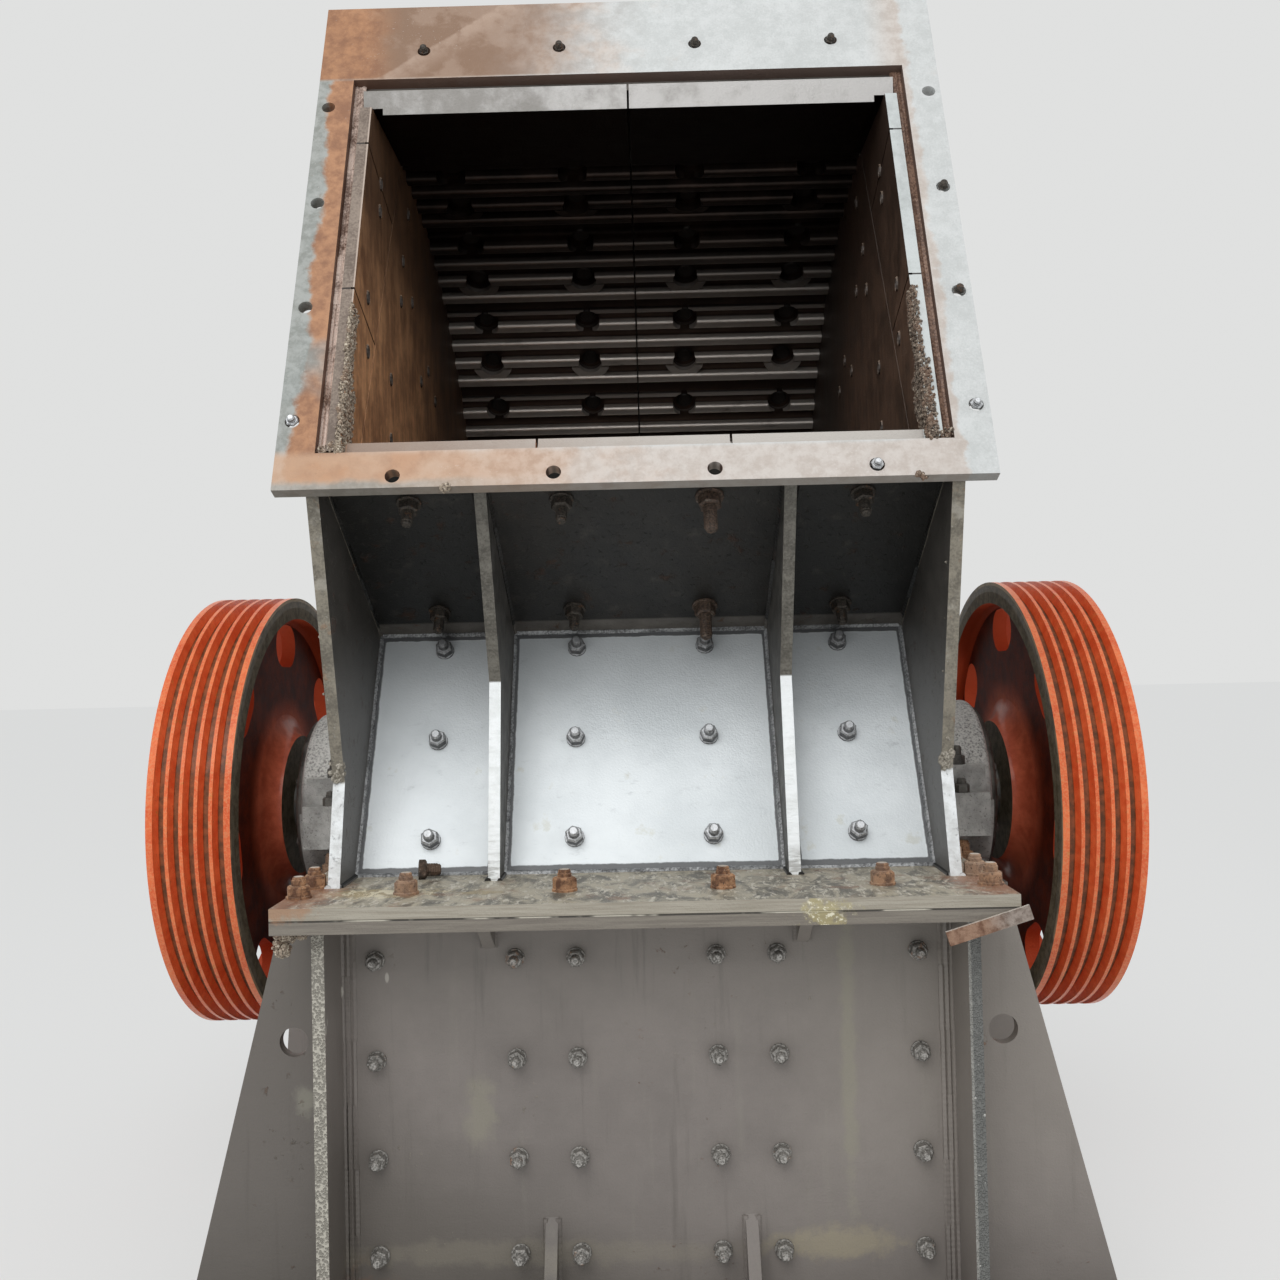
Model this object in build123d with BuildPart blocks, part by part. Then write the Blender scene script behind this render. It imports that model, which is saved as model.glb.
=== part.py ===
from build123d import *
from math import acos, atan2, cos, degrees, hypot, radians, sin
import os

# Hammer crusher, millimetres. X runs along the rotor, the feed mouth looks towards -Y, Z is up.
# Side views are drawn on planes where x is the distance behind the rotor axis
# and y is the height above the parting flange.

# Casing
plate = 20.0
chamber_width = 1000.0
parting_height = 800.0
lower_depth = 1610.0
lower_side_overhang = 105.0
lower_flange_thick = 20.0
upper_flange_thick = 20.0
flange_side_reach = 46.0
flange_end_reach = 165.0

# Base frame under the lower casing
base_thick = 25.0
base_side_reach = 280.0
anchor_hole = 34.0
anchor_edge = 40.0
anchor_corner_inset = 70.0
anchor_inner_x = 250.0

# Upper casing in side view: places behind the lower front wall, and heights above the parting flange
side_foot_set = -6.0
side_bend_set = 39.0
side_bend_z = 169.0
slant_foot_set = 99.0
crease_set = 327.0
crease_z = 422.0
rib_x = 242.0
rib_foot_set = 35.0
rib_bend_set = 101.0
rib_bend_z = 331.0
rib_top_set = -45.0
roof_z = 1440.0
rear_wall_set = 45.0
rear_radius = 1168.0
side_margin = 14.0
rear_rib_reach = 130.0

# Feed mouth flange
mouth_low_set = -116.0
mouth_low_z = 641.0
mouth_angle = 68.0
mouth_length = 1054.0
mouth_side_border = 63.0
mouth_thick = 22.0
mouth_side_gap = 5.0
mouth_opening_length = 803.0
mouth_bottom_border = 66.0
mouth_hole = 24.0
mouth_hole_pitch = 252.7
mouth_side_column_inset = 21.6
mouth_side_pitch = 225.3
mouth_side_first = 127.0
mouth_low_row = 21.0
mouth_top_row = 938.0

# Wear liners
liner_thick = 30.0
side_liner_thick = 33.0
liner_seam = 4.0
liner_columns = 3
rim_rebate_width = 12.0
rim_rebate_depth = 20.0
rim_joint_pitch = 324.0
rim_joints = 2
side_seam_depth = 6.0
side_seam_top_y = -369.0
side_seam_low_y = -785.0
side_seam_low_z = 677.0
roof_liner_thick = 45.0
roof_liner_lip = 33.0
roof_liner_gap = 15.0
roof_liner_rebate = 35.0
roof_liner_run = 52.0

# Impact liners: cast plates with four rounded ridges and round pockets for the bolt heads
impact_base_thick = 26.0
impact_plate_length = 277.0
impact_foot_z = 84.0
ridge_places = (0.17, 0.38, 0.59, 0.80)
ridge_width = 26.0
ridge_height = 22.0
ridge_round = 9.0
lip_width = 8.0
lip_height = 9.0
pocket_places = (0.115, 0.60)
pocket_radius = 30.0
pocket_depth = 8.0
collar_radius = 50.0
collar_height = 17.0
bolt_column_inner = 121.6
bolt_column_outer = 373.9

# Lower casing stiffeners, sideways from the side plates
wing_top_reach = 77.0
wing_base_reach = 263.0
wing_hole = 48.0
wing_hole_reach = 61.0
wing_hole_depth = 251.0
gusset_x = 163.0
gusset_top = 543.0
gusset_reach = 150.0
tab_x = 257.0
tab_drop = 64.0
tab_reach = 95.0

# Rotor line, outwards from the side plates
axis_rise = 50.0
shaft_mid_radius = 90.0
shaft_bearing_radius = 70.0
shaft_end_radius = 65.0
shaft_end_reach = 27.0
shaft_shoulder_gap = 30.0
shaft_opening_radius = 118.0
running_gap = 0.05
seat_gap = 0.3

# Bearing housings, split at the height of the rotor axis
bearing_reach = 70.0
housing_length = 155.0
bearing_width = 96.0
bearing_outer_radius = 125.0
cap_radius = 207.0
cap_round = 12.0
lug_length = 110.0
lug_half = 262.0
lug_below = 68.0
lug_above = 22.0
boss_half = 228.0
boss_above = 78.0
waist_half = 150.0
foot_half = 275.0
foot_thick = 34.0
cover_radius = 195.0
cover_thick = 13.0
cover_round = 10.0
pedestal_drop = 110.0
shelf_thick = 30.0
shelf_margin = 15.0
leg_setback = 14.0
leg_base_reach = 260.0

# Belt pulleys
pulley_gap = 41.0
pulley_face = 164.0
pulley_radius = 477.5
pulley_rim = 48.0
groove_count = 5
groove_pitch = 29.0
groove_top = 22.0
groove_bottom = 10.0
groove_depth = 19.0
web_inset = 36.0
web_thick = 32.0
web_round = 12.0
hub_radius = 158.0
hub_swell = 50.0
window_length = 143.0
window_height = 99.0
window_circle = 368.0
window_count = 7
window_turn = -1.5

# Hammers and the discs that carry them
disc_count = 6
disc_thick = 30.0
disc_radius = 352.0
disc_side_gap = 27.0
pin_circle = 292.0
pin_radius = 27.0
pin_gap = 0.5
hammer_rows = 4
hammer_tip_radius = 515.0
hammer_side_gap = 22.0
hammer_shank = 104.0
hammer_tail = 60.0
hammer_head = 150.0
hammer_head_length = 105.0
hammer_corner = 18.0

# Discharge grate below the rotor
grate_clearance = 33.0
grate_depth = 50.0
grate_half_angle = 62.0
grate_bar_count = 21
grate_bar = 26.0
grate_side = 24.0
grate_seat = 2.0

# Loose flat bar at the right end of the flange edge
loose_bar_length = 131.0
loose_bar_height = 22.0
loose_bar_thick = 6.0
loose_bar_tilt = 17.0
loose_bar_inset = 49.0
loose_bar_drop = 45.0

# The rotor stands half the loose bar's thickness behind the middle of the whole machine.
rotor_y = loose_bar_thick / 2
half_chamber = chamber_width / 2
half_lower = lower_depth / 2
casing_outer_x = half_chamber + plate
lower_side_depth = lower_depth + 2 * lower_side_overhang
flange_width = 2 * (casing_outer_x + flange_side_reach)
flange_depth = lower_depth + 2 * flange_end_reach
base_width = 2 * (casing_outer_x + base_side_reach)
base_depth = flange_depth
lower_top = parting_height - upper_flange_thick - lower_flange_thick
rotor_z = parting_height + axis_rise
rotor_axis = Axis((0, rotor_y, rotor_z), (1, 0, 0))


def side_view(x):
    """Plane across the rotor at x: its x is the depth behind the axis, its y the height above parting."""
    return Plane(origin=(x, rotor_y, parting_height), x_dir=(0, 1, 0), z_dir=(1, 0, 0))


def rotor_view(x):
    """Plane across the rotor at x with its origin on the axis."""
    return Plane(origin=(x, rotor_y, rotor_z), x_dir=(0, 1, 0), z_dir=(1, 0, 0))


def level(z):
    """Horizontal plane at height z above the ground, centred on the rotor."""
    return Plane(origin=(0, rotor_y, z))


def upright(y):
    """Vertical plane across the machine, y behind the axis: its x is X, its y the height."""
    return Plane(origin=(0, rotor_y + y, 0), x_dir=(1, 0, 0), z_dir=(0, -1, 0))


def shifted(start, end, distance):
    """The line from start to end moved to its right-hand side."""
    length = hypot(end[0] - start[0], end[1] - start[1])
    step_x = distance * (end[1] - start[1]) / length
    step_y = -distance * (end[0] - start[0]) / length
    return ((start[0] + step_x, start[1] + step_y), (end[0] + step_x, end[1] + step_y))


def crossing(line_a, line_b):
    """Point where two lines, each given by two points, cross."""
    (ax, ay), (bx, by) = line_a
    (cx, cy), (dx, dy) = line_b
    ux, uy = bx - ax, by - ay
    vx, vy = dx - cx, dy - cy
    share = ((cx - ax) * vy - (cy - ay) * vx) / (ux * vy - uy * vx)
    return (ax + share * ux, ay + share * uy)


def at_height(line, z):
    """Point of a line at height z."""
    return crossing(line, ((-1.0, z), (1.0, z)))


def at_depth(line, y):
    """Point of a line at depth y."""
    return crossing(line, ((y, 0.0), (y, 1.0)))


def mouth_point(up, behind):
    """Point of the mouth flange in side view: up its slope, and behind its front face."""
    lean = radians(mouth_angle)
    return (
        mouth_low_y + up * cos(lean) + behind * sin(lean),
        mouth_low_z + up * sin(lean) - behind * cos(lean),
    )


# Lines of the upper casing in side view
front_y = -half_lower
mouth_low_y = front_y + mouth_low_set
crease = (front_y + crease_set, crease_z)
slant_outer = ((front_y + slant_foot_set, 0.0), crease)
slant_inner = shifted(*slant_outer, plate)
front_liner_face = shifted(*slant_outer, plate + liner_thick)
mouth_face = (mouth_point(0, 0), mouth_point(mouth_length, 0))
mouth_back = (mouth_point(0, mouth_thick), mouth_point(mouth_length, mouth_thick))
floor_front = mouth_point(mouth_bottom_border - plate, mouth_thick)
floor_under = (floor_front, crease)
floor_top = shifted(crease, floor_front, plate)
floor_liner_top = shifted(crease, floor_front, plate + liner_thick)
roof_inner_z = roof_z - plate

# The roof runs on into a rolled plate, which ends upright above the rear wall.
rear_outer_y = half_lower - rear_wall_set
rear_inner_y = rear_outer_y - plate
roof_end_y = rear_outer_y - rear_radius
rear_centre = (roof_end_y, roof_z - rear_radius)
inner_radius = rear_radius - plate


def write(piece, label):
    """Label a finished piece and write it as its own file."""
    piece.label = label
    export_step(piece, f"parts/{label}.step")


os.makedirs("parts", exist_ok=True)

# Base frame: a flat ring under the walls and the bearing pedestals, open for the discharge
with BuildPart() as base_frame:
    with BuildSketch(level(0)):
        Rectangle(base_width, base_depth)
        Rectangle(chamber_width, lower_depth - 2 * plate, mode=Mode.SUBTRACT)
    extrude(amount=base_thick)
    with BuildSketch(level(base_thick)):
        for hole_x in (base_width / 2 - anchor_corner_inset, anchor_inner_x):
            with GridLocations(2 * hole_x, base_depth - 2 * anchor_edge, 2, 2):
                Circle(anchor_hole / 2)
        with GridLocations(base_width - 2 * anchor_edge, base_depth / 2, 2, 2):
            Circle(anchor_hole / 2)
    extrude(amount=-base_thick, mode=Mode.SUBTRACT)
write(base_frame.part, "base_frame")

# Lower casing: front and rear walls between two side plates
for name, y in (("lower_front_wall", plate - half_lower), ("lower_rear_wall", half_lower)):
    with BuildPart() as wall:
        with BuildSketch(upright(y)):
            with Locations((0, (base_thick + lower_top) / 2)):
                Rectangle(chamber_width, lower_top - base_thick)
        extrude(amount=plate)
    write(wall.part, name)

with BuildPart() as lower_right_side:
    with BuildSketch(side_view(half_chamber)):
        with Locations((0, lower_top - parting_height)):
            Rectangle(lower_side_depth, lower_top - base_thick, align=(Align.CENTER, Align.MAX))
        with Locations((0, axis_rise)):
            Circle(shaft_opening_radius, mode=Mode.SUBTRACT)
    extrude(amount=plate)
write(lower_right_side.part, "lower_right_side")

with BuildPart() as lower_left_side:
    mirror(lower_right_side.part, about=Plane.YZ)
write(lower_left_side.part, "lower_left_side")

# Wings: sloping end plates in line with the front and rear walls
for name, y in (("front_wings", plate - half_lower), ("rear_wings", half_lower)):
    with BuildPart() as wings:
        with BuildSketch(upright(y)):
            with BuildLine():
                Polyline(
                    (casing_outer_x, base_thick),
                    (casing_outer_x + wing_base_reach, base_thick),
                    (casing_outer_x + wing_top_reach, lower_top),
                    (casing_outer_x, lower_top),
                    close=True,
                )
            make_face()
            with Locations((casing_outer_x + wing_hole_reach, parting_height - wing_hole_depth)):
                Circle(wing_hole / 2, mode=Mode.SUBTRACT)
            mirror(about=Plane.YZ)
        extrude(amount=plate)
    write(wings.part, name)

# Gussets: tabs under the flange and raking feet at the bottom of the front and rear walls
with BuildPart() as front_gussets:
    for side in (-1, 1):
        with BuildSketch(side_view(side * tab_x - plate / 2)):
            with BuildLine():
                Polyline(
                    (front_y, lower_top - parting_height),
                    (front_y - tab_reach, lower_top - parting_height),
                    (front_y, lower_top - parting_height - tab_drop),
                    close=True,
                )
            make_face()
        extrude(amount=plate)
        with BuildSketch(side_view(side * gusset_x - plate / 2)):
            with BuildLine():
                Polyline(
                    (front_y, -gusset_top),
                    (front_y, base_thick - parting_height),
                    (front_y - gusset_reach, base_thick - parting_height),
                    close=True,
                )
            make_face()
        extrude(amount=plate)
write(front_gussets.part, "front_gussets")

with BuildPart() as rear_gussets:
    mirror(front_gussets.part, about=Plane(origin=(0, rotor_y, 0), z_dir=(0, 1, 0)))
write(rear_gussets.part, "rear_gussets")

# Parting flanges: two plates bolted together, open round the shaft on both sides
with BuildPart() as lower_flange:
    with BuildSketch(level(lower_top)):
        Rectangle(flange_width, flange_depth)
        Rectangle(chamber_width, lower_depth - 2 * plate, mode=Mode.SUBTRACT)
        Rectangle(flange_width, 2 * shaft_opening_radius, mode=Mode.SUBTRACT)
    extrude(amount=lower_flange_thick)
write(lower_flange.part, "lower_flange")

upper_inner_front = at_height(front_liner_face, 0.0)[0]
with BuildPart() as upper_flange:
    with BuildSketch(level(parting_height - upper_flange_thick)):
        Rectangle(flange_width, flange_depth)
        with Locations(((0, (upper_inner_front + rear_inner_y) / 2))):
            Rectangle(chamber_width, rear_inner_y - upper_inner_front, mode=Mode.SUBTRACT)
        Rectangle(flange_width, 2 * shaft_opening_radius, mode=Mode.SUBTRACT)
    extrude(amount=upper_flange_thick)
write(upper_flange.part, "upper_flange")

# Lower liners: three plates side by side behind the front wall and before the rear wall
column_width = chamber_width / liner_columns
with BuildPart() as lower_liners:
    for y in (plate + liner_thick - half_lower, half_lower - plate):
        with BuildSketch(upright(y)):
            with Locations((0, (base_thick + lower_top) / 2)):
                with GridLocations(column_width, 0, liner_columns, 1):
                    Rectangle(column_width - liner_seam, lower_top - base_thick - 2 * liner_seam)
        extrude(amount=liner_thick)
write(lower_liners.part, "lower_liners")

# Upper side plates: their edge stands a little outside the roof, the rolled plate and the rear wall
side_top_z = roof_z + side_margin
side_rear_y = rear_outer_y + side_margin
with BuildPart() as upper_right_side:
    with BuildSketch(side_view(half_chamber)):
        with BuildLine():
            Polyline(
                (side_rear_y, rear_centre[1]),
                (side_rear_y, 0),
                (front_y + side_foot_set, 0),
                (front_y + side_bend_set, side_bend_z),
                mouth_point(side_margin / 2, mouth_thick),
                at_height(mouth_back, side_top_z),
                (roof_end_y, side_top_z),
            )
            CenterArc(rear_centre, rear_radius + side_margin, 0, 90)
        make_face()
        with Locations((0, axis_rise)):
            Circle(shaft_opening_radius, mode=Mode.SUBTRACT)
        Rectangle(2 * shaft_opening_radius, 2 * axis_rise, mode=Mode.SUBTRACT)
    extrude(amount=plate)
write(upper_right_side.part, "upper_right_side")

with BuildPart() as upper_left_side:
    mirror(upper_right_side.part, about=Plane.YZ)
write(upper_left_side.part, "upper_left_side")

# Slanted front plate above the parting flange
slant_top_inner = crossing(slant_inner, floor_under)
with BuildPart() as front_slant_plate:
    with BuildSketch(side_view(-half_chamber)):
        with BuildLine():
            Polyline(slant_outer[0], crease, slant_top_inner, at_height(slant_inner, 0.0), close=True)
        make_face()
    extrude(amount=chamber_width)
write(front_slant_plate.part, "front_slant_plate")

# Chute floor: runs from the mouth flange down to a nose above the rotor
nose_under = crossing(front_liner_face, floor_under)
nose_top = crossing(front_liner_face, floor_top)
floor_top_front = crossing(mouth_back, floor_top)
with BuildPart() as chute_floor:
    with BuildSketch(side_view(-half_chamber)):
        with BuildLine():
            Polyline(floor_front, nose_under, nose_top, floor_top_front, close=True)
        make_face()
    extrude(amount=chamber_width)
write(chute_floor.part, "chute_floor")

# Front ribs: two plates standing on the flange, outside the slanted plate and the chute floor
rib_top = at_depth(floor_under, front_y + rib_top_set)
with BuildPart() as front_ribs:
    for x in (-rib_x - plate, rib_x):
        with BuildSketch(side_view(x)):
            with BuildLine():
                Polyline(
                    slant_outer[0],
                    (front_y + rib_foot_set, 0),
                    (front_y + rib_bend_set, rib_bend_z),
                    rib_top,
                    crease,
                    close=True,
                )
            make_face()
        extrude(amount=plate)
write(front_ribs.part, "front_ribs")

# Mouth flange
mouth_plane = Plane(
    origin=(0, rotor_y + mouth_low_y, parting_height + mouth_low_z),
    x_dir=(1, 0, 0),
    z_dir=(0, -sin(radians(mouth_angle)), cos(radians(mouth_angle))),
)
mouth_opening_width = chamber_width + 2 * mouth_side_gap
mouth_width = mouth_opening_width + 2 * mouth_side_border
with BuildPart() as mouth_flange:
    with BuildSketch(mouth_plane):
        Rectangle(mouth_width, mouth_length, align=(Align.CENTER, Align.MIN))
        with Locations((0, mouth_bottom_border)):
            Rectangle(
                mouth_opening_width,
                mouth_opening_length,
                align=(Align.CENTER, Align.MIN),
                mode=Mode.SUBTRACT,
            )
        with Locations((0, mouth_low_row), (0, mouth_top_row)):
            with GridLocations(mouth_hole_pitch, 0, 4, 1):
                Circle(mouth_hole / 2, mode=Mode.SUBTRACT)
        with Locations((0, mouth_side_first + 1.5 * mouth_side_pitch)):
            with GridLocations(mouth_width - 2 * mouth_side_column_inset, mouth_side_pitch, 2, 4):
                Circle(mouth_hole / 2, mode=Mode.SUBTRACT)
    extrude(amount=-mouth_thick)
write(mouth_flange.part, "mouth_flange")

# Roof, rolled rear plate and rear wall close the upper casing between the side plates
with BuildPart() as roof_plate:
    with BuildSketch(side_view(-half_chamber)):
        with BuildLine():
            Polyline(
                at_height(mouth_back, roof_z),
                (roof_end_y, roof_z),
                (roof_end_y, roof_inner_z),
                at_height(mouth_back, roof_inner_z),
                close=True,
            )
        make_face()
    extrude(amount=chamber_width)
write(roof_plate.part, "roof_plate")

with BuildPart() as rear_curved_plate:
    with BuildSketch(side_view(-half_chamber)):
        with BuildLine():
            CenterArc(rear_centre, rear_radius, 0, 90)
            Line((roof_end_y, roof_z), (roof_end_y, roof_inner_z))
            CenterArc(rear_centre, inner_radius, 0, 90)
            Line((rear_inner_y, rear_centre[1]), (rear_outer_y, rear_centre[1]))
        make_face()
    extrude(amount=chamber_width)
write(rear_curved_plate.part, "rear_curved_plate")

with BuildPart() as upper_rear_wall:
    with BuildSketch(side_view(-half_chamber)):
        with Locations((rear_outer_y, 0)):
            Rectangle(plate, rear_centre[1], align=(Align.MAX, Align.MIN))
    extrude(amount=chamber_width)
write(upper_rear_wall.part, "upper_rear_wall")

with BuildPart() as rear_ribs:
    for x in (-rib_x - plate, rib_x):
        with BuildSketch(side_view(x)):
            with BuildLine():
                Polyline(
                    (rear_outer_y, 0),
                    (rear_outer_y + rear_rib_reach, 0),
                    (rear_outer_y, rear_centre[1]),
                    close=True,
                )
            make_face()
        extrude(amount=plate)
write(rear_ribs.part, "rear_ribs")

# Front liners behind the slanted plate and on the chute floor
inner_half = half_chamber - side_liner_thick
front_column = 2 * inner_half / liner_columns
with BuildPart() as front_liners:
    for column in range(liner_columns):
        with BuildSketch(side_view(-inner_half + column * front_column + liner_seam / 2)):
            with BuildLine():
                Polyline(
                    at_height(slant_inner, 0.0),
                    slant_top_inner,
                    nose_under,
                    at_height(front_liner_face, 0.0),
                    close=True,
                )
            make_face()
            with BuildLine():
                Polyline(
                    floor_top_front,
                    nose_top,
                    floor_liner_top[0],
                    crossing(mouth_back, floor_liner_top),
                    close=True,
                )
            make_face()
        extrude(amount=front_column - liner_seam)
write(front_liners.part, "front_liners")

# Roof liners: two halves from the mouth to the impact liners, with a lip over the side liners
roof_front_y = at_height(mouth_face, roof_inner_z)[0]
roof_turn = degrees(roof_liner_run / inner_radius)
lip_half = half_chamber - roof_liner_gap
with BuildPart() as roof_liners:
    for thick, half in ((roof_liner_lip, lip_half), (roof_liner_thick, lip_half - roof_liner_rebate)):
        for x in (-half, liner_seam / 2):
            with BuildSketch(side_view(x)):
                with BuildLine():
                    Line((roof_front_y, roof_inner_z), (roof_end_y, roof_inner_z))
                    CenterArc(rear_centre, inner_radius, 90, -roof_turn)
                    offset(amount=thick, side=Side.RIGHT)
                make_face()
            extrude(amount=half - liner_seam / 2)
write(roof_liners.part, "roof_liners")

# Impact liners: two curtains of ridged plates that follow the rolled plate and the rear wall
start_turn = roof_turn + degrees(liner_seam / inner_radius)
with BuildLine() as curtain:
    CenterArc(rear_centre, inner_radius, 90 - start_turn, start_turn - 90)
    Line((rear_inner_y, rear_centre[1]), (rear_inner_y, impact_foot_z))
curtain_path = curtain.wire()
plate_rows = round(curtain_path.length / impact_plate_length)
curtain_half = inner_half - liner_seam / 2


def curtain_place(row, share):
    """Point and direction on the curtain's back, at a share of the length of one row's plate."""
    place = (row + share) / plate_rows
    foot = curtain_path @ place
    run = curtain_path % place
    return Location((foot.X, foot.Y), degrees(atan2(run.Y, run.X)))


def pocket_plane(row, share):
    """Plane on the face of a row's plates, looking inwards, centred on the machine."""
    place = curtain_place(row, share)
    turn = radians(place.orientation.Z - 90)
    lift = impact_base_thick
    return Plane(
        origin=(
            0,
            rotor_y + place.position.X + lift * cos(turn),
            parting_height + place.position.Y + lift * sin(turn),
        ),
        x_dir=(1, 0, 0),
        z_dir=(0, cos(turn), sin(turn)),
    )


bolt_columns = [(side * x, 0) for side in (-1, 1) for x in (bolt_column_inner, bolt_column_outer)]
with BuildPart() as impact_liners:
    for x in (-inner_half, liner_seam / 2):
        with BuildSketch(side_view(x)):
            with BuildLine():
                add(curtain_path)
                offset(amount=impact_base_thick, side=Side.RIGHT)
            make_face()
            for row in range(plate_rows):
                for share in ridge_places:
                    with Locations(curtain_place(row, share)):
                        with Locations((0, -impact_base_thick / 2)):
                            RectangleRounded(
                                ridge_width,
                                impact_base_thick / 2 + ridge_height,
                                ridge_round,
                                align=(Align.CENTER, Align.MAX),
                            )
                with Locations(curtain_place(row, 0)):
                    with Locations((liner_seam / 2, -impact_base_thick / 2)):
                        Rectangle(
                            lip_width,
                            impact_base_thick / 2 + lip_height,
                            align=(Align.MIN, Align.MAX),
                        )
    extrude(amount=curtain_half)
    for row in range(plate_rows):
        with BuildSketch(pocket_plane(row, pocket_places[1])):
            with Locations(*bolt_columns):
                Circle(collar_radius)
            with Locations((0, -pocket_radius / 2)):
                Rectangle(
                    2 * inner_half,
                    collar_radius,
                    align=(Align.CENTER, Align.MAX),
                    mode=Mode.INTERSECT,
                )
    extrude(amount=collar_height)
    for row in range(plate_rows):
        for share in pocket_places:
            with BuildSketch(pocket_plane(row, share).offset(-pocket_depth)):
                with Locations(*bolt_columns):
                    Circle(pocket_radius)
    extrude(amount=pocket_depth + 2 * ridge_height, mode=Mode.SUBTRACT)
    with BuildSketch(side_view(-inner_half)):
        for row in range(1, plate_rows):
            with Locations(curtain_place(row, 0)):
                Rectangle(liner_seam, 4 * impact_base_thick)
    extrude(amount=2 * inner_half, mode=Mode.SUBTRACT)
write(impact_liners.part, "impact_liners")

# Side liners cover the side plates inside the upper casing and reach the front of the mouth flange
liner_foot = mouth_bottom_border + liner_seam
under_lip_z = roof_inner_z - roof_liner_lip - liner_seam
under_lip_y = rear_centre[0] + roof_liner_run
arc_start = degrees(acos(under_lip_y / inner_radius - rear_centre[0] / inner_radius))
seam_line = (
    (side_seam_low_y, side_seam_low_z),
    (side_seam_top_y, under_lip_z),
)
with BuildPart() as right_side_liner:
    with BuildSketch(side_view(inner_half)):
        with BuildLine():
            Polyline(
                (under_lip_y, rear_centre[1] + inner_radius * sin(radians(arc_start))),
                (under_lip_y, under_lip_z),
                at_height(mouth_face, under_lip_z),
                mouth_point(liner_foot, 0),
                mouth_point(liner_foot, mouth_thick),
                floor_top_front,
                crossing(slant_inner, floor_top),
                slant_top_inner,
                at_height(slant_inner, liner_seam),
                (rear_inner_y, liner_seam),
                (rear_inner_y, rear_centre[1]),
            )
            CenterArc(rear_centre, inner_radius, 0, arc_start)
        make_face()
        with Locations((0, axis_rise)):
            Circle(shaft_opening_radius, mode=Mode.SUBTRACT)
        Rectangle(2 * shaft_opening_radius, 2 * axis_rise, mode=Mode.SUBTRACT)
    extrude(amount=side_liner_thick)
    with BuildSketch(side_view(inner_half)):
        with BuildLine():
            Polyline(floor_front, nose_under, nose_top, floor_top_front, close=True)
        make_face()
    extrude(amount=side_liner_thick, mode=Mode.SUBTRACT)
    with BuildSketch(side_view(half_chamber - rim_rebate_width)):
        with BuildLine():
            Polyline(
                mouth_point(0, 0),
                mouth_point(mouth_length, 0),
                mouth_point(mouth_length, rim_rebate_depth),
                mouth_point(0, rim_rebate_depth),
                close=True,
            )
        make_face()
    extrude(amount=rim_rebate_width, mode=Mode.SUBTRACT)
    with BuildSketch(side_view(inner_half)):
        with BuildLine():
            Polyline(
                *shifted(*seam_line, -liner_seam / 2),
                *reversed(shifted(*seam_line, liner_seam / 2)),
                close=True,
            )
        make_face()
        for joint in range(1, rim_joints + 1):
            up = mouth_bottom_border + joint * rim_joint_pitch
            joint_line = (mouth_point(up, -1), mouth_point(up, mouth_thick))
            joint_end = crossing(joint_line, seam_line)
            with BuildLine():
                Polyline(
                    *shifted(joint_line[0], joint_end, -liner_seam / 2),
                    *reversed(shifted(joint_line[0], joint_end, liner_seam / 2)),
                    close=True,
                )
            make_face()
    extrude(amount=side_seam_depth, mode=Mode.SUBTRACT)
write(right_side_liner.part, "right_side_liner")

with BuildPart() as left_side_liner:
    mirror(right_side_liner.part, about=Plane.YZ)
write(left_side_liner.part, "left_side_liner")

# Discharge grate: two curved side bars and the bars that lie on their inner edge across the chamber
grate_radius = hammer_tip_radius + grate_clearance
grate_outer = grate_radius + grate_depth
side_inner = grate_outer + grate_seat
with BuildPart() as grate_sides:
    for x in (-half_chamber, half_chamber - grate_side):
        with BuildSketch(rotor_view(x)):
            with BuildLine():
                CenterArc((0, 0), side_inner, 270 - grate_half_angle, 2 * grate_half_angle)
                CenterArc((0, 0), side_inner + grate_side, 270 - grate_half_angle, 2 * grate_half_angle)
                for end in (-1, 1):
                    turn = radians(270 + end * grate_half_angle)
                    Line(
                        (side_inner * cos(turn), side_inner * sin(turn)),
                        ((side_inner + grate_side) * cos(turn), (side_inner + grate_side) * sin(turn)),
                    )
            make_face()
        extrude(amount=grate_side)
write(grate_sides.part, "grate_sides")

with BuildPart() as grate_bars:
    with BuildSketch(rotor_view(-half_chamber)):
        for bar in range(grate_bar_count):
            turn = 270 + grate_half_angle * (2 * (bar + 0.5) / grate_bar_count - 1)
            with PolarLocations(grate_radius, 1, turn):
                Rectangle(grate_depth, grate_bar, align=(Align.MIN, Align.CENTER))
    extrude(amount=chamber_width)
write(grate_bars.part, "grate_bars")

# Bearing pedestals: a shelf on three legs outside each side plate
bearing_inner_x = casing_outer_x + bearing_reach
bearing_outer_x = bearing_inner_x + housing_length
shelf_top = parting_height - pedestal_drop
shelf_half = foot_half + shelf_margin
with BuildPart() as right_pedestal:
    with BuildSketch(level(shelf_top)):
        with Locations((casing_outer_x, 0)):
            Rectangle(bearing_outer_x - casing_outer_x, 2 * shelf_half, align=(Align.MIN, Align.CENTER))
    extrude(amount=-shelf_thick)
    for y in (plate - shelf_half, plate / 2, shelf_half):
        with BuildSketch(upright(y)):
            with BuildLine():
                Polyline(
                    (casing_outer_x, base_thick),
                    (casing_outer_x + leg_base_reach, base_thick),
                    (bearing_outer_x - leg_setback, shelf_top - shelf_thick),
                    (casing_outer_x, shelf_top - shelf_thick),
                    close=True,
                )
            make_face()
        extrude(amount=plate)
write(right_pedestal.part, "right_pedestal")

with BuildPart() as left_pedestal:
    mirror(right_pedestal.part, about=Plane.YZ)
write(left_pedestal.part, "left_pedestal")

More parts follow.
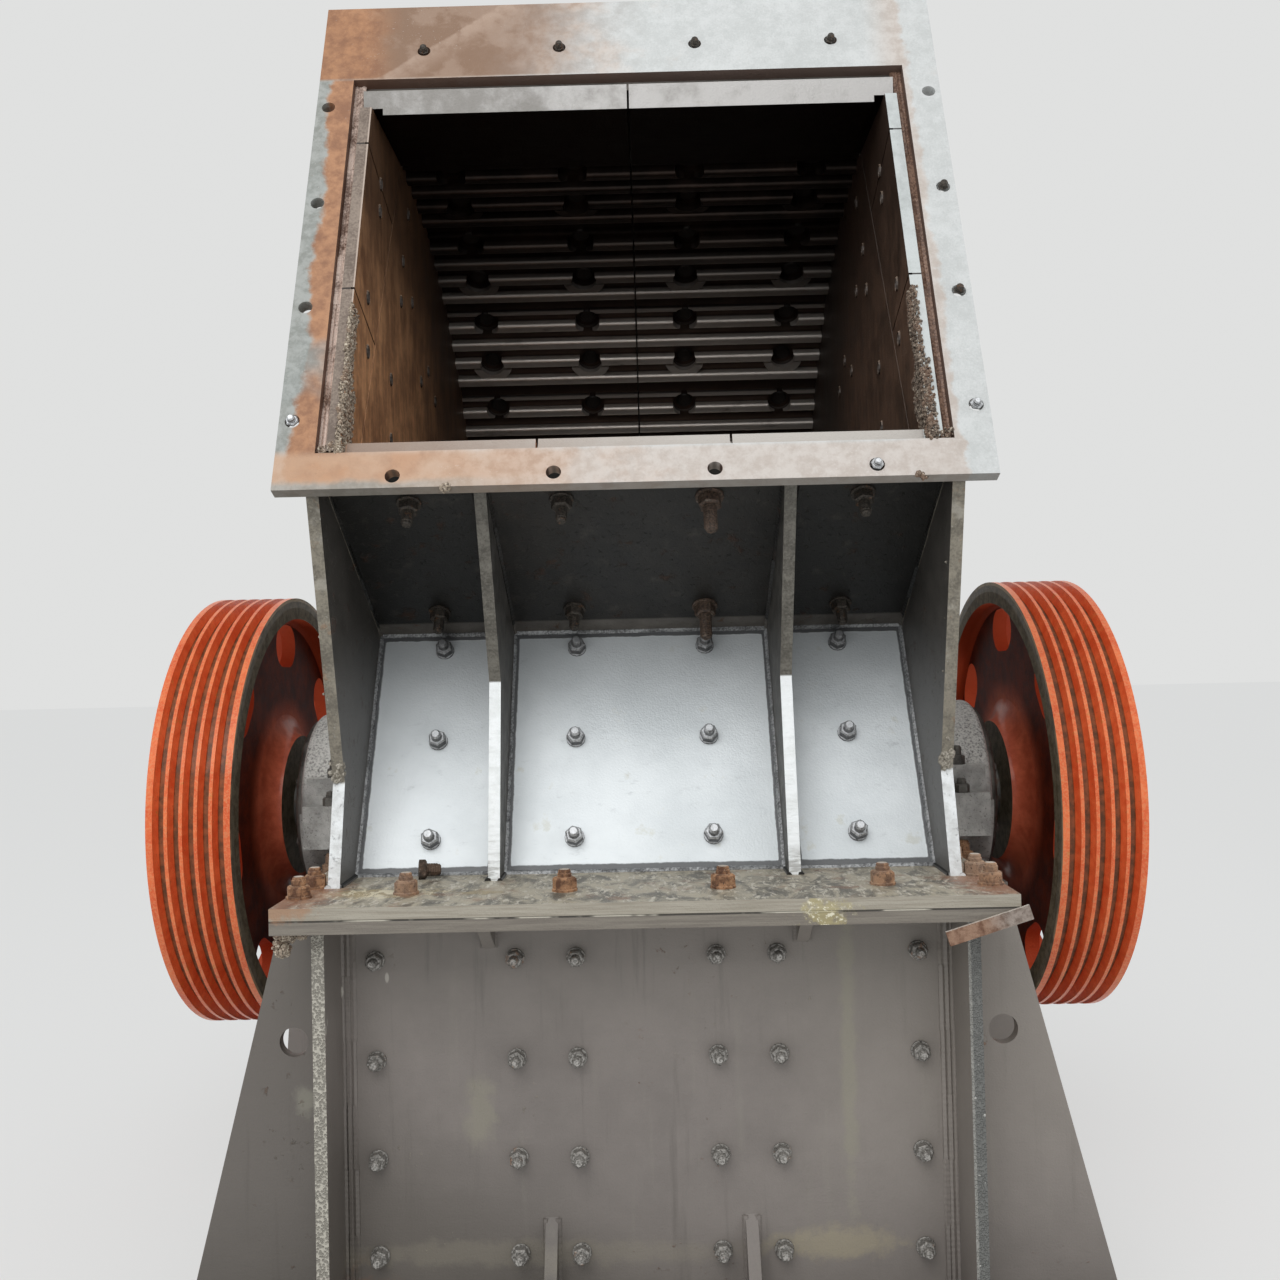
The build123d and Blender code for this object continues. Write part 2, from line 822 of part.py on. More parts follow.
# Bearing housings: a base with bolting lugs and feet, and a domed cap with two stepped bolt seats
housing_bottom = -pedestal_drop - axis_rise
bearing_seat = bearing_outer_radius + running_gap
lug_x = bearing_inner_x + (housing_length - lug_length) / 2
with BuildPart() as right_bearing_base:
    with BuildSketch(rotor_view(bearing_inner_x)):
        Circle(cap_radius)
        with Locations((0, housing_bottom)):
            Rectangle(2 * waist_half, -housing_bottom, align=(Align.CENTER, Align.MIN))
        with Locations((0, housing_bottom)):
            Rectangle(4 * foot_half, -housing_bottom, align=(Align.CENTER, Align.MIN), mode=Mode.INTERSECT)
    extrude(amount=housing_length)
    with BuildSketch(rotor_view(lug_x)):
        Rectangle(2 * lug_half, lug_below, align=(Align.CENTER, Align.MAX))
        with Locations((0, housing_bottom)):
            Rectangle(2 * foot_half, foot_thick, align=(Align.CENTER, Align.MIN))
    extrude(amount=lug_length)
    with BuildSketch(rotor_view(bearing_inner_x)):
        Circle(bearing_seat)
    extrude(amount=housing_length, mode=Mode.SUBTRACT)
write(right_bearing_base.part, "right_bearing_base")

with BuildPart() as right_bearing_cap:
    with BuildSketch(rotor_view(bearing_inner_x)):
        Circle(cap_radius)
    extrude(amount=housing_length)
    fillet(edges().filter_by(GeomType.CIRCLE), cap_round)
    with BuildSketch(rotor_view(lug_x)):
        Rectangle(2 * lug_half, 2 * lug_above)
        Rectangle(2 * boss_half, 2 * boss_above)
    extrude(amount=lug_length)
    with BuildSketch(rotor_view(bearing_inner_x)):
        Circle(bearing_seat)
        Rectangle(2 * lug_half, cap_radius, align=(Align.CENTER, Align.MAX))
    extrude(amount=housing_length, mode=Mode.SUBTRACT)
write(right_bearing_cap.part, "right_bearing_cap")

with BuildPart() as left_bearing_base:
    mirror(right_bearing_base.part, about=Plane.YZ)
write(left_bearing_base.part, "left_bearing_base")

with BuildPart() as left_bearing_cap:
    mirror(right_bearing_cap.part, about=Plane.YZ)
write(left_bearing_cap.part, "left_bearing_cap")

# Bearings with their round end covers, which the shaft runs through
cover_end_x = bearing_outer_x + cover_thick
with BuildPart() as right_bearing:
    with BuildSketch(rotor_view(bearing_outer_x)):
        Circle(cover_radius)
    extrude(amount=cover_thick)
    fillet(edges().filter_by(GeomType.CIRCLE).sort_by(Axis.X)[-1], cover_round)
    with BuildSketch(rotor_view(bearing_outer_x - bearing_width)):
        Circle(bearing_outer_radius)
    extrude(amount=bearing_width)
    with BuildSketch(rotor_view(bearing_outer_x - bearing_width)):
        Circle(shaft_bearing_radius + running_gap)
    extrude(amount=bearing_width + cover_thick, mode=Mode.SUBTRACT)
write(right_bearing.part, "right_bearing")

with BuildPart() as left_bearing:
    mirror(right_bearing.part, about=Plane.YZ)
write(left_bearing.part, "left_bearing")

# Loose flat bar hanging on the front edge of the flange
with BuildPart() as loose_bar:
    with BuildSketch(upright(-flange_depth / 2)):
        with Locations((flange_width / 2 - loose_bar_inset, parting_height - loose_bar_drop)):
            Rectangle(loose_bar_length, loose_bar_height, rotation=loose_bar_tilt)
    extrude(amount=loose_bar_thick)
write(loose_bar.part, "loose_bar")

# Shaft: thick between the bearings, stepped down for the bearings and the pulleys
pulley_inner_x = cover_end_x + pulley_gap
pulley_outer_x = pulley_inner_x + pulley_face
shaft_end_x = pulley_outer_x + shaft_end_reach
shaft_shoulder_x = bearing_outer_x - bearing_width - shaft_shoulder_gap
with BuildPart() as shaft:
    with BuildSketch(Plane(origin=(0, rotor_y, rotor_z), x_dir=(1, 0, 0), z_dir=(0, -1, 0))):
        with BuildLine():
            Polyline(
                (-shaft_end_x, 0),
                (-shaft_end_x, shaft_end_radius),
                (-pulley_inner_x, shaft_end_radius),
                (-pulley_inner_x, shaft_bearing_radius),
                (-shaft_shoulder_x, shaft_bearing_radius),
                (-shaft_shoulder_x, shaft_mid_radius),
                (shaft_shoulder_x, shaft_mid_radius),
                (shaft_shoulder_x, shaft_bearing_radius),
                (pulley_inner_x, shaft_bearing_radius),
                (pulley_inner_x, shaft_end_radius),
                (shaft_end_x, shaft_end_radius),
                (shaft_end_x, 0),
                close=True,
            )
        make_face()
    revolve(axis=rotor_axis)
write(shaft.part, "shaft")

# Belt pulleys: grooved rim, recessed web with oval windows, and a hub that swells into the web
first_groove = (pulley_face - (groove_count - 1) * groove_pitch) / 2
rim_points = []
for groove in range(groove_count):
    middle = pulley_inner_x + first_groove + groove * groove_pitch
    rim_points += [
        (middle - groove_top / 2, pulley_radius),
        (middle - groove_bottom / 2, pulley_radius - groove_depth),
        (middle + groove_bottom / 2, pulley_radius - groove_depth),
        (middle + groove_top / 2, pulley_radius),
    ]
rim_inner = pulley_radius - pulley_rim
web_x = pulley_inner_x + web_inset
pulley_bore = shaft_end_radius + seat_gap
with BuildPart() as right_pulley:
    with BuildSketch(Plane(origin=(0, rotor_y, rotor_z), x_dir=(1, 0, 0), z_dir=(0, -1, 0))):
        with BuildLine():
            Polyline(
                (pulley_outer_x, pulley_radius),
                (pulley_outer_x, rim_inner),
                (web_x + web_thick, rim_inner),
                (web_x + web_thick, hub_radius),
                (pulley_outer_x, hub_radius),
                (pulley_outer_x, pulley_bore),
                (pulley_inner_x, pulley_bore),
                (pulley_inner_x, hub_radius),
            )
            Spline(
                (pulley_inner_x, hub_radius),
                (web_x, hub_radius + hub_swell),
                tangents=[(1, 0.15), (0.15, 1)],
            )
            Polyline(
                (web_x, hub_radius + hub_swell),
                (web_x, rim_inner),
                (pulley_inner_x, rim_inner),
                (pulley_inner_x, pulley_radius),
                *rim_points,
                (pulley_outer_x, pulley_radius),
            )
        make_face()
        rim_corners = vertices().filter_by_position(Axis.Y, rim_inner - plate, rim_inner + plate)
        fillet(rim_corners.filter_by_position(Axis.X, web_x, web_x + web_thick), web_round)
    revolve(axis=rotor_axis)
    with BuildSketch(rotor_view(web_x)):
        with PolarLocations(window_circle, window_count, 90 + window_turn):
            SlotOverall(window_length, window_height, rotation=90)
    extrude(amount=web_thick, mode=Mode.SUBTRACT)
write(right_pulley.part, "right_pulley")

with BuildPart() as left_pulley:
    mirror(right_pulley.part, about=Plane.YZ)
write(left_pulley.part, "left_pulley")

# Rotor discs on the shaft
disc_end_x = inner_half - disc_side_gap
disc_pitch = (2 * disc_end_x - disc_thick) / (disc_count - 1)
with BuildPart() as rotor_discs:
    for disc in range(disc_count):
        with BuildSketch(rotor_view(-disc_end_x + disc * disc_pitch)):
            Circle(disc_radius)
            Circle(shaft_mid_radius + seat_gap, mode=Mode.SUBTRACT)
            with PolarLocations(pin_circle, hammer_rows, 45):
                Circle(pin_radius + pin_gap, mode=Mode.SUBTRACT)
        extrude(amount=disc_thick)
write(rotor_discs.part, "rotor_discs")

with BuildPart() as hammer_pins:
    with BuildSketch(rotor_view(-disc_end_x)):
        with PolarLocations(pin_circle, hammer_rows, 45):
            Circle(pin_radius)
    extrude(amount=2 * disc_end_x)
write(hammer_pins.part, "hammer_pins")

# Hammers: one in each gap between discs on each pin, standing out as they do when the rotor turns
hammer_thick = disc_pitch - disc_thick - 2 * hammer_side_gap
with BuildPart() as hammers:
    for gap in range(disc_count - 1):
        with BuildSketch(rotor_view(-disc_end_x + disc_thick + hammer_side_gap + gap * disc_pitch)):
            with PolarLocations(pin_circle - hammer_tail, hammer_rows, 45):
                Rectangle(
                    hammer_tip_radius - pin_circle + hammer_tail,
                    hammer_shank,
                    align=(Align.MIN, Align.CENTER),
                )
            with PolarLocations(hammer_tip_radius, hammer_rows, 45):
                Rectangle(hammer_head_length, hammer_head, align=(Align.MAX, Align.CENTER))
            chamfer(vertices(), hammer_corner)
            with PolarLocations(pin_circle, hammer_rows, 45):
                Circle(pin_radius + pin_gap, mode=Mode.SUBTRACT)
        extrude(amount=hammer_thick)
write(hammers.part, "hammers")
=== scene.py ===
import random
from math import cos, pi, radians, sin

import bmesh
import bpy
from mathutils import Matrix, Vector


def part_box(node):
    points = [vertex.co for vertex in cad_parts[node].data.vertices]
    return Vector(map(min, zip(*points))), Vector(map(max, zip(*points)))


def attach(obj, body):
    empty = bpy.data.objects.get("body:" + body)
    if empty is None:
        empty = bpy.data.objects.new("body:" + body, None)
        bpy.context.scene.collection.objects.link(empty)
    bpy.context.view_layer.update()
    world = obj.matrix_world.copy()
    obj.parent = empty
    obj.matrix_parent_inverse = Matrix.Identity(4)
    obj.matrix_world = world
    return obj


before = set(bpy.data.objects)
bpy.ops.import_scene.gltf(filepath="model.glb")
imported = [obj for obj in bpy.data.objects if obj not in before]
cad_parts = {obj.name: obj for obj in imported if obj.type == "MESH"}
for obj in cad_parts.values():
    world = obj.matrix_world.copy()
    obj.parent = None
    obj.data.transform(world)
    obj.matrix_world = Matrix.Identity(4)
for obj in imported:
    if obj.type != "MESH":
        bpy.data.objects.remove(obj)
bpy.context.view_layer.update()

# Camera: a little right of the machine's middle at a raised hand's height, looking almost level.
# It is placed from the middle of the shaft and the top of the parting flange.
shaft_low, shaft_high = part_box("shaft")
axis_y = (shaft_low.y + shaft_high.y) / 2
axis_z = (shaft_low.z + shaft_high.z) / 2
parting_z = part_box("upper_flange")[1].z
camera_place = Vector((0.0222, axis_y - 2.7676, parting_z + 0.3581))
camera_yaw = -0.0102968
camera_pitch = -0.0198038
camera_roll = -0.0225542
forward = Vector((
    cos(camera_pitch) * sin(camera_yaw),
    cos(camera_pitch) * cos(camera_yaw),
    -sin(camera_pitch),
))
level_right = Vector((cos(camera_yaw), -sin(camera_yaw), 0))
level_up = level_right.cross(forward)
camera_right = cos(camera_roll) * level_right + sin(camera_roll) * level_up
camera_up = cos(camera_roll) * level_up - sin(camera_roll) * level_right
camera = bpy.data.objects.new("camera", bpy.data.cameras.new("camera"))
camera.data.lens = 33.49
camera.data.sensor_width = 36
turned = Matrix((camera_right, camera_up, -forward)).transposed()
camera.matrix_world = Matrix.Translation(camera_place) @ turned.to_4x4()
bpy.context.collection.objects.link(camera)
bpy.context.scene.camera = camera

# Studio: a plain pale floor under a soft pale sky, with a wide lamp high in front and a weaker
# one at the right. The camera sees floor and sky as one pale tone, with the machine's shadow.
bpy.context.scene.view_settings.view_transform = "Standard"
studio_tone = (0.8, 0.8, 0.79, 1)
bm = bmesh.new()
bmesh.ops.create_grid(bm, x_segments=1, y_segments=1, size=40)
floor = bpy.data.objects.new("floor", bpy.data.meshes.new("floor"))
bm.to_mesh(floor.data)
bm.free()
bpy.context.collection.objects.link(floor)
floor_finish = bpy.data.materials.new("floor")
floor_finish.use_nodes = True
floor.data.materials.append(floor_finish)
sky = bpy.data.worlds.new("sky")
bpy.context.scene.world = sky
sky.use_nodes = True


def seen_mix(tree, unseen, seen, out, share=1.0):
    """Gives the tree's output one shader, and another where camera, glossy or glass rays look."""
    rays = tree.nodes.new("ShaderNodeLightPath")
    looked = rays.outputs["Is Camera Ray"]
    for other in ("Is Glossy Ray", "Is Transmission Ray"):
        either = tree.nodes.new("ShaderNodeMath")
        either.operation = "MAXIMUM"
        tree.links.new(looked, either.inputs[0])
        tree.links.new(rays.outputs[other], either.inputs[1])
        looked = either.outputs[0]
    part = tree.nodes.new("ShaderNodeMath")
    part.operation = "MULTIPLY"
    part.inputs[1].default_value = share
    tree.links.new(looked, part.inputs[0])
    both = tree.nodes.new("ShaderNodeMixShader")
    tree.links.new(part.outputs[0], both.inputs[0])
    tree.links.new(unseen.outputs[0], both.inputs[1])
    tree.links.new(seen.outputs[0], both.inputs[2])
    tree.links.new(both.outputs[0], out.inputs["Surface"])


floor_nodes = floor_finish.node_tree.nodes
floor_shader = floor_nodes["Principled BSDF"]
floor_shader.inputs["Base Color"].default_value = studio_tone
floor_shader.inputs["Roughness"].default_value = 0.95
floor_shader.inputs["Specular IOR Level"].default_value = 0.0
floor_seen = floor_nodes.new("ShaderNodeEmission")
floor_seen.inputs["Color"].default_value = studio_tone
seen_mix(floor_finish.node_tree, floor_shader, floor_seen, floor_nodes["Material Output"], 0.6)
sky_light = sky.node_tree.nodes["Background"]
sky_light.inputs["Color"].default_value = (0.94, 0.97, 1.0, 1)
sky_light.inputs["Strength"].default_value = 0.74
sky_seen = sky.node_tree.nodes.new("ShaderNodeBackground")
sky_seen.inputs["Color"].default_value = (0.745, 0.75, 0.745, 1)
seen_mix(sky.node_tree, sky_light, sky_seen, sky.node_tree.nodes["World Output"])
for name, lamp_place, size, watts in (
    ("lamp_front", Vector((-0.9, -3.7, 3.9)), 3.0, 92),
    ("lamp_right", Vector((4.4, -1.6, 3.0)), 2.6, 25),
):
    lamp = bpy.data.objects.new(name, bpy.data.lights.new(name, "AREA"))
    lamp.data.size = size
    lamp.data.energy = watts
    aim = (Vector((0, 0, 1.1)) - lamp_place).to_track_quat("-Z", "Y").to_matrix().to_4x4()
    lamp.matrix_world = Matrix.Translation(lamp_place) @ aim
    bpy.context.collection.objects.link(lamp)

# Lower casing: base frame, walls, side plates, wings, gussets and bearing pedestals. Welded 20 mm
# plate under dark grey-brown paint, with dried splashes, rain streaks, yellowish drips and rust.


class Tone:
    """A value, colour or vector in a finish being mixed. Sums on it add the nodes for them."""

    def __init__(self, tree, socket):
        self.tree = tree
        self.socket = socket

    def node(self, kind, settings, sockets, out=0):
        """One more node: its settings are set first, then its sockets get values or links."""
        made = self.tree.nodes.new(kind)
        for name, setting in settings.items():
            setattr(made, name, setting)
        for name, value in sockets.items():
            if isinstance(value, Tone):
                self.tree.links.new(value.socket, made.inputs[name])
            else:
                made.inputs[name].default_value = value
        return Tone(self.tree, made.outputs[out])

    def maths(self, operation, *values):
        return self.node("ShaderNodeMath", {"operation": operation}, dict(enumerate(values)))

    def __add__(self, other):
        return self.maths("ADD", self, other)

    def __sub__(self, other):
        return self.maths("SUBTRACT", self, other)

    def __rsub__(self, other):
        return self.maths("SUBTRACT", other, self)

    def __mul__(self, other):
        return self.maths("MULTIPLY", self, other)

    __radd__ = __add__
    __rmul__ = __mul__

    def size(self):
        """The value without its sign."""
        return self.maths("ABSOLUTE", self)

    def ramp(self, low, high):
        """0 on the low side, 1 on the high side, smooth between; low may be the greater number."""
        limits = {"Value": self, "From Min": low, "From Max": high}
        return self.node("ShaderNodeMapRange", {"interpolation_type": "SMOOTHSTEP"}, limits)

    def line(self, middle, half, soft):
        """1 within half a width of a middle value, 0 further off."""
        return (self - middle).size().ramp(half + soft, half)

    def stretched(self, x, y, z):
        """The place, scaled along each axis, so that a pattern on it is drawn out."""
        return self.node("ShaderNodeVectorMath", {"operation": "MULTIPLY"}, {0: self, 1: (x, y, z)})

    def axes(self):
        """The x, y and z of a place."""
        split = self.node("ShaderNodeSeparateXYZ", {}, {0: self})
        return [Tone(self.tree, out) for out in split.socket.node.outputs]

    def cloud(self, size, detail=3.0, rough=0.55, swirl=0.0):
        """Soft noise over a place, with blots about this size in metres."""
        values = {"Vector": self, "Scale": 1 / size, "Detail": detail, "Roughness": rough}
        return self.node("ShaderNodeTexNoise", {}, {**values, "Distortion": swirl})

    def pits(self, size):
        """Distance from the nearest of many scattered points, about this size apart."""
        return self.node("ShaderNodeTexVoronoi", {"feature": "F1"}, {"Vector": self, "Scale": 1 / size})

    def blend(self, under, over):
        """The colour over laid on the colour under where this value is 1."""
        tints = [tint if isinstance(tint, Tone) else (*tint, 1) for tint in (under, over)]
        return self.node("ShaderNodeMix", {"data_type": "RGBA"}, {0: self, 6: tints[0], 7: tints[1]}, 2)

    def coat(self, over, mask):
        """This colour with another laid on it where the mask is 1."""
        return mask.blend(self, over)

    def reach(self, other):
        """How far off a point is that lies this far away along one axis and other along the next."""
        square = self * self + other * other
        return square.maths("SQRT", square)

    def patch(self, middle, radii, ragged):
        """1 round a point of a place, 0 past its radii, with an edge made ragged by noise."""
        away = self.node("ShaderNodeVectorMath", {"operation": "SUBTRACT"}, {0: self, 1: middle})
        away = away.stretched(*[1 / radius for radius in radii])
        reach = away.node("ShaderNodeVectorMath", {"operation": "LENGTH"}, {0: away}, "Value")
        return (reach + ragged * 2.4).ramp(1.5, 0.5)


def new_finish(name):
    """A finish, and the place on the piece in metres and the way its surface faces, to mix it by."""
    finish = bpy.data.materials.new(name)
    finish.use_nodes = True
    start = Tone(finish.node_tree, None)
    place = start.node("ShaderNodeTexCoord", {}, {}, "Object")
    facing = start.node("ShaderNodeTexCoord", {}, {}, "Normal")
    return finish, place, facing


def lay(finish, colour, roughness, height, depth, metal=0.0):
    """Joins the mixed tones to the finish's shader. The relief is height times depth in metres."""
    shader = finish.node_tree.nodes["Principled BSDF"]
    relief = colour.node("ShaderNodeBump", {}, {"Height": height, "Distance": depth})
    for name, tone in (
        ("Base Color", colour),
        ("Roughness", roughness),
        ("Metallic", metal),
        ("Normal", relief),
    ):
        if isinstance(tone, Tone):
            finish.node_tree.links.new(tone.socket, shader.inputs[name])
        else:
            shader.inputs[name].default_value = tone


def dress(finish, *names):
    """Gives a finish to nodes of the frame."""
    for name in names:
        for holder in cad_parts[name].material_slots:
            holder.material = finish


def at(x, behind, above):
    """Point by its X, its depth behind the rotor axis and its height above the parting flange."""
    return Vector((x, axis_y + behind, parting_z + above))


wall_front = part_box("lower_front_wall")[0].y
wall_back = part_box("lower_rear_wall")[1].y
plate_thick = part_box("lower_front_wall")[1].y - wall_front
lower_paint, place, facing = new_finish("lower_paint")
x, y, z = place.axes()
ny = facing.axes()[1]
blots = place.cloud(0.45, 4, 0.5)
mottle = place.cloud(0.06, 5, 0.6)
streaks = place.stretched(9, 9, 0.6).cloud(0.3, 6, 0.62)
rolled = place.stretched(1, 1, 16).cloud(0.3, 4, 0.6)
grain = place.cloud(0.0035, 3, 0.6)
specks = place.stretched(1, 1, 0.4).pits(0.075).ramp(0.055, 0.03) * place.cloud(0.15, 2).ramp(0.48, 0.56)
splashes = place.cloud(0.01, 5, 0.7).ramp(0.6, 0.7) * place.cloud(0.16, 3).ramp(0.56, 0.7)
rust = place.cloud(0.02, 6, 0.7).ramp(0.62, 0.7) * place.cloud(0.25, 2).ramp(0.56, 0.68)
ragged = place.cloud(0.03, 5, 0.65) - 0.5
wet_wing = x.ramp(-0.524, -0.53) * y.ramp(axis_y - 0.79, axis_y - 0.8)
lower_side_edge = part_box("lower_left_side")[0].y
edge = ny.ramp(-0.6, -0.9) * y.ramp(lower_side_edge + 0.004, lower_side_edge + 0.002)
porous = place.pits(0.0038).ramp(0.25, 0.7) + place.cloud(0.02, 5, 0.7).ramp(0.6, 0.72) * 0.6
left_edge = (
    (porous * 0.8 + mottle * 0.3 - 0.1).blend((0.25, 0.23, 0.195), (0.5, 0.47, 0.4))
    .coat((0.3, 0.12, 0.05), z.ramp(0.1, 0.02) * mottle.ramp(0.4, 0.55))
)
dots = place.pits(0.016).ramp(0.16, 0.1)
right_edge = (
    (dots * 0.85).blend((0.15, 0.15, 0.14), (0.6, 0.59, 0.55))
    .coat((0.34, 0.33, 0.3), x.line(0.502, 0.0012, 0.002) * 0.7)
)
colour = (
    (blots * 0.7 + mottle * 0.3).ramp(0.34, 0.66).blend((0.182, 0.16, 0.145), (0.24, 0.211, 0.191))
    .coat((0.245, 0.225, 0.19), z.ramp(0.45, 0.75) * 0.25)
    .coat((0.255, 0.235, 0.2), streaks.ramp(0.56, 0.74) * 0.4)
    .coat((0.11, 0.096, 0.084), streaks.ramp(0.44, 0.26) * 0.55)
    .coat((0.125, 0.108, 0.094), z.ramp(0.36, 0.12) * 0.45)
    .coat((0.085, 0.074, 0.06), (z + x * 0.6).ramp(0.3, -0.02) * x.ramp(-0.53, -0.5) * 0.6)
    .coat((0.3, 0.268, 0.232), x.ramp(0.1, 0.45) * z.ramp(0.1, 0.5) * 0.42)
)
for middle, radii, tint, strength in (
    (at(0.328, -0.805, -0.27), (0.011, 0.05, 0.24), (0.29, 0.27, 0.205), 0.55),
    (at(-0.278, -0.805, -0.368), (0.022, 0.05, 0.05), (0.29, 0.27, 0.2), 0.45),
    (at(0.3, -0.805, -0.592), (0.085, 0.05, 0.024), (0.36, 0.31, 0.2), 0.5),
    (at(-0.2, -0.805, -0.6), (0.3, 0.05, 0.02), (0.27, 0.24, 0.18), 0.3),
    (at(-0.565, -0.805, -0.345), (0.014, 0.05, 0.022), (0.52, 0.5, 0.4), 0.75),
    (at(-0.47, -0.805, -0.72), (0.05, 0.1, 0.07), (0.25, 0.12, 0.06), 0.6),
):
    colour = colour.coat(tint, place.patch(middle, radii, ragged) * strength)
colour = (
    colour.coat((0.52, 0.49, 0.43), specks * 0.8)
    .coat((0.36, 0.32, 0.24), splashes * 0.55)
    .coat((0.21, 0.095, 0.045), rust * 0.75)
    .coat((0.085, 0.076, 0.064), wet_wing * blots.ramp(0.3, 0.5) * 0.62)
    .coat(left_edge.coat(right_edge, x.ramp(-0.01, 0.01)), edge)
)
lay(
    lower_paint, colour, 0.42 + blots * 0.14 + streaks * 0.14 + rust * 0.25,
    grain * 0.5 + mottle * 0.8 + rolled * 0.5 + splashes * 0.8 + rust + porous * edge * 2, 0.001,
)
dress(
    lower_paint, "base_frame", "lower_front_wall", "lower_rear_wall", "lower_left_side",
    "lower_right_side", "front_wings", "rear_wings", "front_gussets", "rear_gussets",
    "left_pedestal", "right_pedestal",
)

# Bolts through the lower walls: rows of M16 liner bolts, each a washer, a nut and the bolt's
# threaded end, dull steel under a thin coat of the paint, front and back.


def stands(point, outwards, turn=0.0):
    """Place on a surface at a point, with its z pointing outwards."""
    upright = Vector(outwards).normalized().to_track_quat("Z", "Y").to_matrix().to_4x4()
    return Matrix.Translation(point) @ upright @ Matrix.Rotation(turn, 4, "Z")


def round_block(bm, sides, radius, low, high, soften):
    """A closed prism or cylinder up z, higher than what is there, with its top edge bevelled."""
    bmesh.ops.create_cone(
        bm, cap_ends=True, segments=sides, radius1=radius, radius2=radius, depth=high - low,
        matrix=Matrix.Translation((0, 0, (low + high) / 2)),
    )
    rim = [edge for edge in bm.edges if all(end.co.z > high - 1e-6 for end in edge.verts)]
    bmesh.ops.bevel(bm, geom=rim, offset=soften, affect="EDGES", segments=1, profile=0.5, material=-1)


def closed_shape(bm):
    """The mesh of a shape that is drawn once and then set out many times."""
    shape = bpy.data.meshes.new("shape")
    bm.to_mesh(shape)
    bm.free()
    return shape


def nut_shape(flats, tall, end_radius, end_reach, washer=0.0, sides=6, thread=0.0035):
    """A nut with chamfered corners on its washer, and the bolt's threaded end out of it."""
    bm = bmesh.new()
    washer_top = 0.004 if washer else 0
    if washer:
        round_block(bm, 14, washer, 0, washer_top, 0.0008)
    nut_top = washer_top + tall
    round_block(bm, sides, flats / 2 / cos(pi / sides), washer_top, nut_top, 0.09 * flats)
    turns_out = int(end_reach / thread)
    for turn in range(turns_out):
        low = nut_top + turn * thread
        round_block(bm, 9, end_radius, low - 0.001, low + thread * 0.8, thread * 0.3)
    if end_reach:
        round_block(bm, 9, end_radius * 0.88, nut_top - 0.001, nut_top + end_reach + 0.002, 0.002)
    return closed_shape(bm)


def set_out(name, shape, places, finish, body="housing"):
    """One piece of like shapes at all their places, in its finish, riding on its body."""
    corners = [vert.co for vert in shape.vertices]
    outlines = [list(face.vertices) for face in shape.polygons]
    points, faces = [], []
    for spot in places:
        first = len(points)
        points += [spot @ corner for corner in corners]
        faces += [[first + corner for corner in outline] for outline in outlines]
    mesh = bpy.data.meshes.new(name)
    mesh.from_pydata(points, [], faces)
    mesh.materials.append(finish)
    piece = bpy.data.objects.new(name, mesh)
    bpy.context.collection.objects.link(piece)
    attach(piece, body)


def set_nuts(name, shape, spots, finish):
    """One piece of like nuts or heads on their (point, way out) spots, each turned at random."""
    places = [stands(point, outwards, chance.uniform(0, 1)) for point, outwards in spots]
    set_out(name, shape, places, finish)


nut_grey, place, facing = new_finish("nut_grey")
ny = facing.axes()[1]
grain = place.cloud(0.003, 4, 0.6)
stains = place.cloud(0.012, 4, 0.65)
by_nut = place.cloud(0.2, 2)
rust = (stains + by_nut * 0.7).ramp(0.98, 1.1)
colour = (
    grain.ramp(0.3, 0.62).blend((0.11, 0.102, 0.092), (0.3, 0.285, 0.262))
    .coat((0.5, 0.48, 0.45), grain.ramp(0.4, 0.6) * ny.size().ramp(0.6, 0.95) * 0.75)
    .coat((0.25, 0.125, 0.06), rust * 0.7)
)
lay(nut_grey, colour, 0.36 + stains * 0.3, grain + stains, 0.0006, 0.45 - rust * 0.4)

wall_nut = nut_shape(0.0255, 0.015, 0.0085, 0.012, washer=0.016)
wall_spots = [
    ((side * column, wall_y, parting_z - drop), (0, out, 0))
    for wall_y, out in ((wall_front, -1), (wall_back, 1))
    for side in (-1, 1)
    for column in (0.115, 0.2147, 0.4446)
    for drop in (0.12, 0.283, 0.444, 0.6)
]
chance = random.Random(5)
set_nuts("lower_wall_nuts", wall_nut, wall_spots, nut_grey)

# Weld beads of the lower casing: hand-laid fillets with their ripples, in every corner between two
# plates, left as they were laid and painted over.
bead_length = 0.1


def bead_shape():
    """One length of weld bead up z, drawn ring by ring out of a small six-sided face."""
    bm = bmesh.new()
    bmesh.ops.create_cone(bm, cap_ends=True, segments=6, radius1=0.0052, radius2=0.0052, depth=0.001)
    face = max(bm.faces, key=lambda each: each.calc_center_median().z)
    rings = 22
    for ring in range(rings):
        grown = bmesh.ops.extrude_discrete_faces(bm, faces=[face])["faces"][0]
        bmesh.ops.translate(bm, vec=(0, 0, bead_length / rings), verts=grown.verts)
        size = (1.1, 1 / 1.1)[ring % 2]
        bmesh.ops.scale(bm, vec=(size, size, 1), verts=grown.verts)
        face = grown
    bmesh.ops.recalc_face_normals(bm, faces=bm.faces)
    return closed_shape(bm)


def bead_run(start, end, size=1.0):
    """Places for lengths of bead from one point to another."""
    run = end - start
    pieces = max(1, round(run.length / bead_length))
    upright = run.to_track_quat("Z", "Y").to_matrix().to_4x4()
    places = []
    for piece in range(pieces):
        width = size * chance.uniform(0.88, 1.14)
        spun = Matrix.Rotation(chance.uniform(0, 6), 4, "Z")
        stretch = Matrix.Diagonal((width, width, run.length / pieces / bead_length, 1))
        places.append(Matrix.Translation(start + run * piece / pieces) @ upright @ spun @ stretch)
    return places


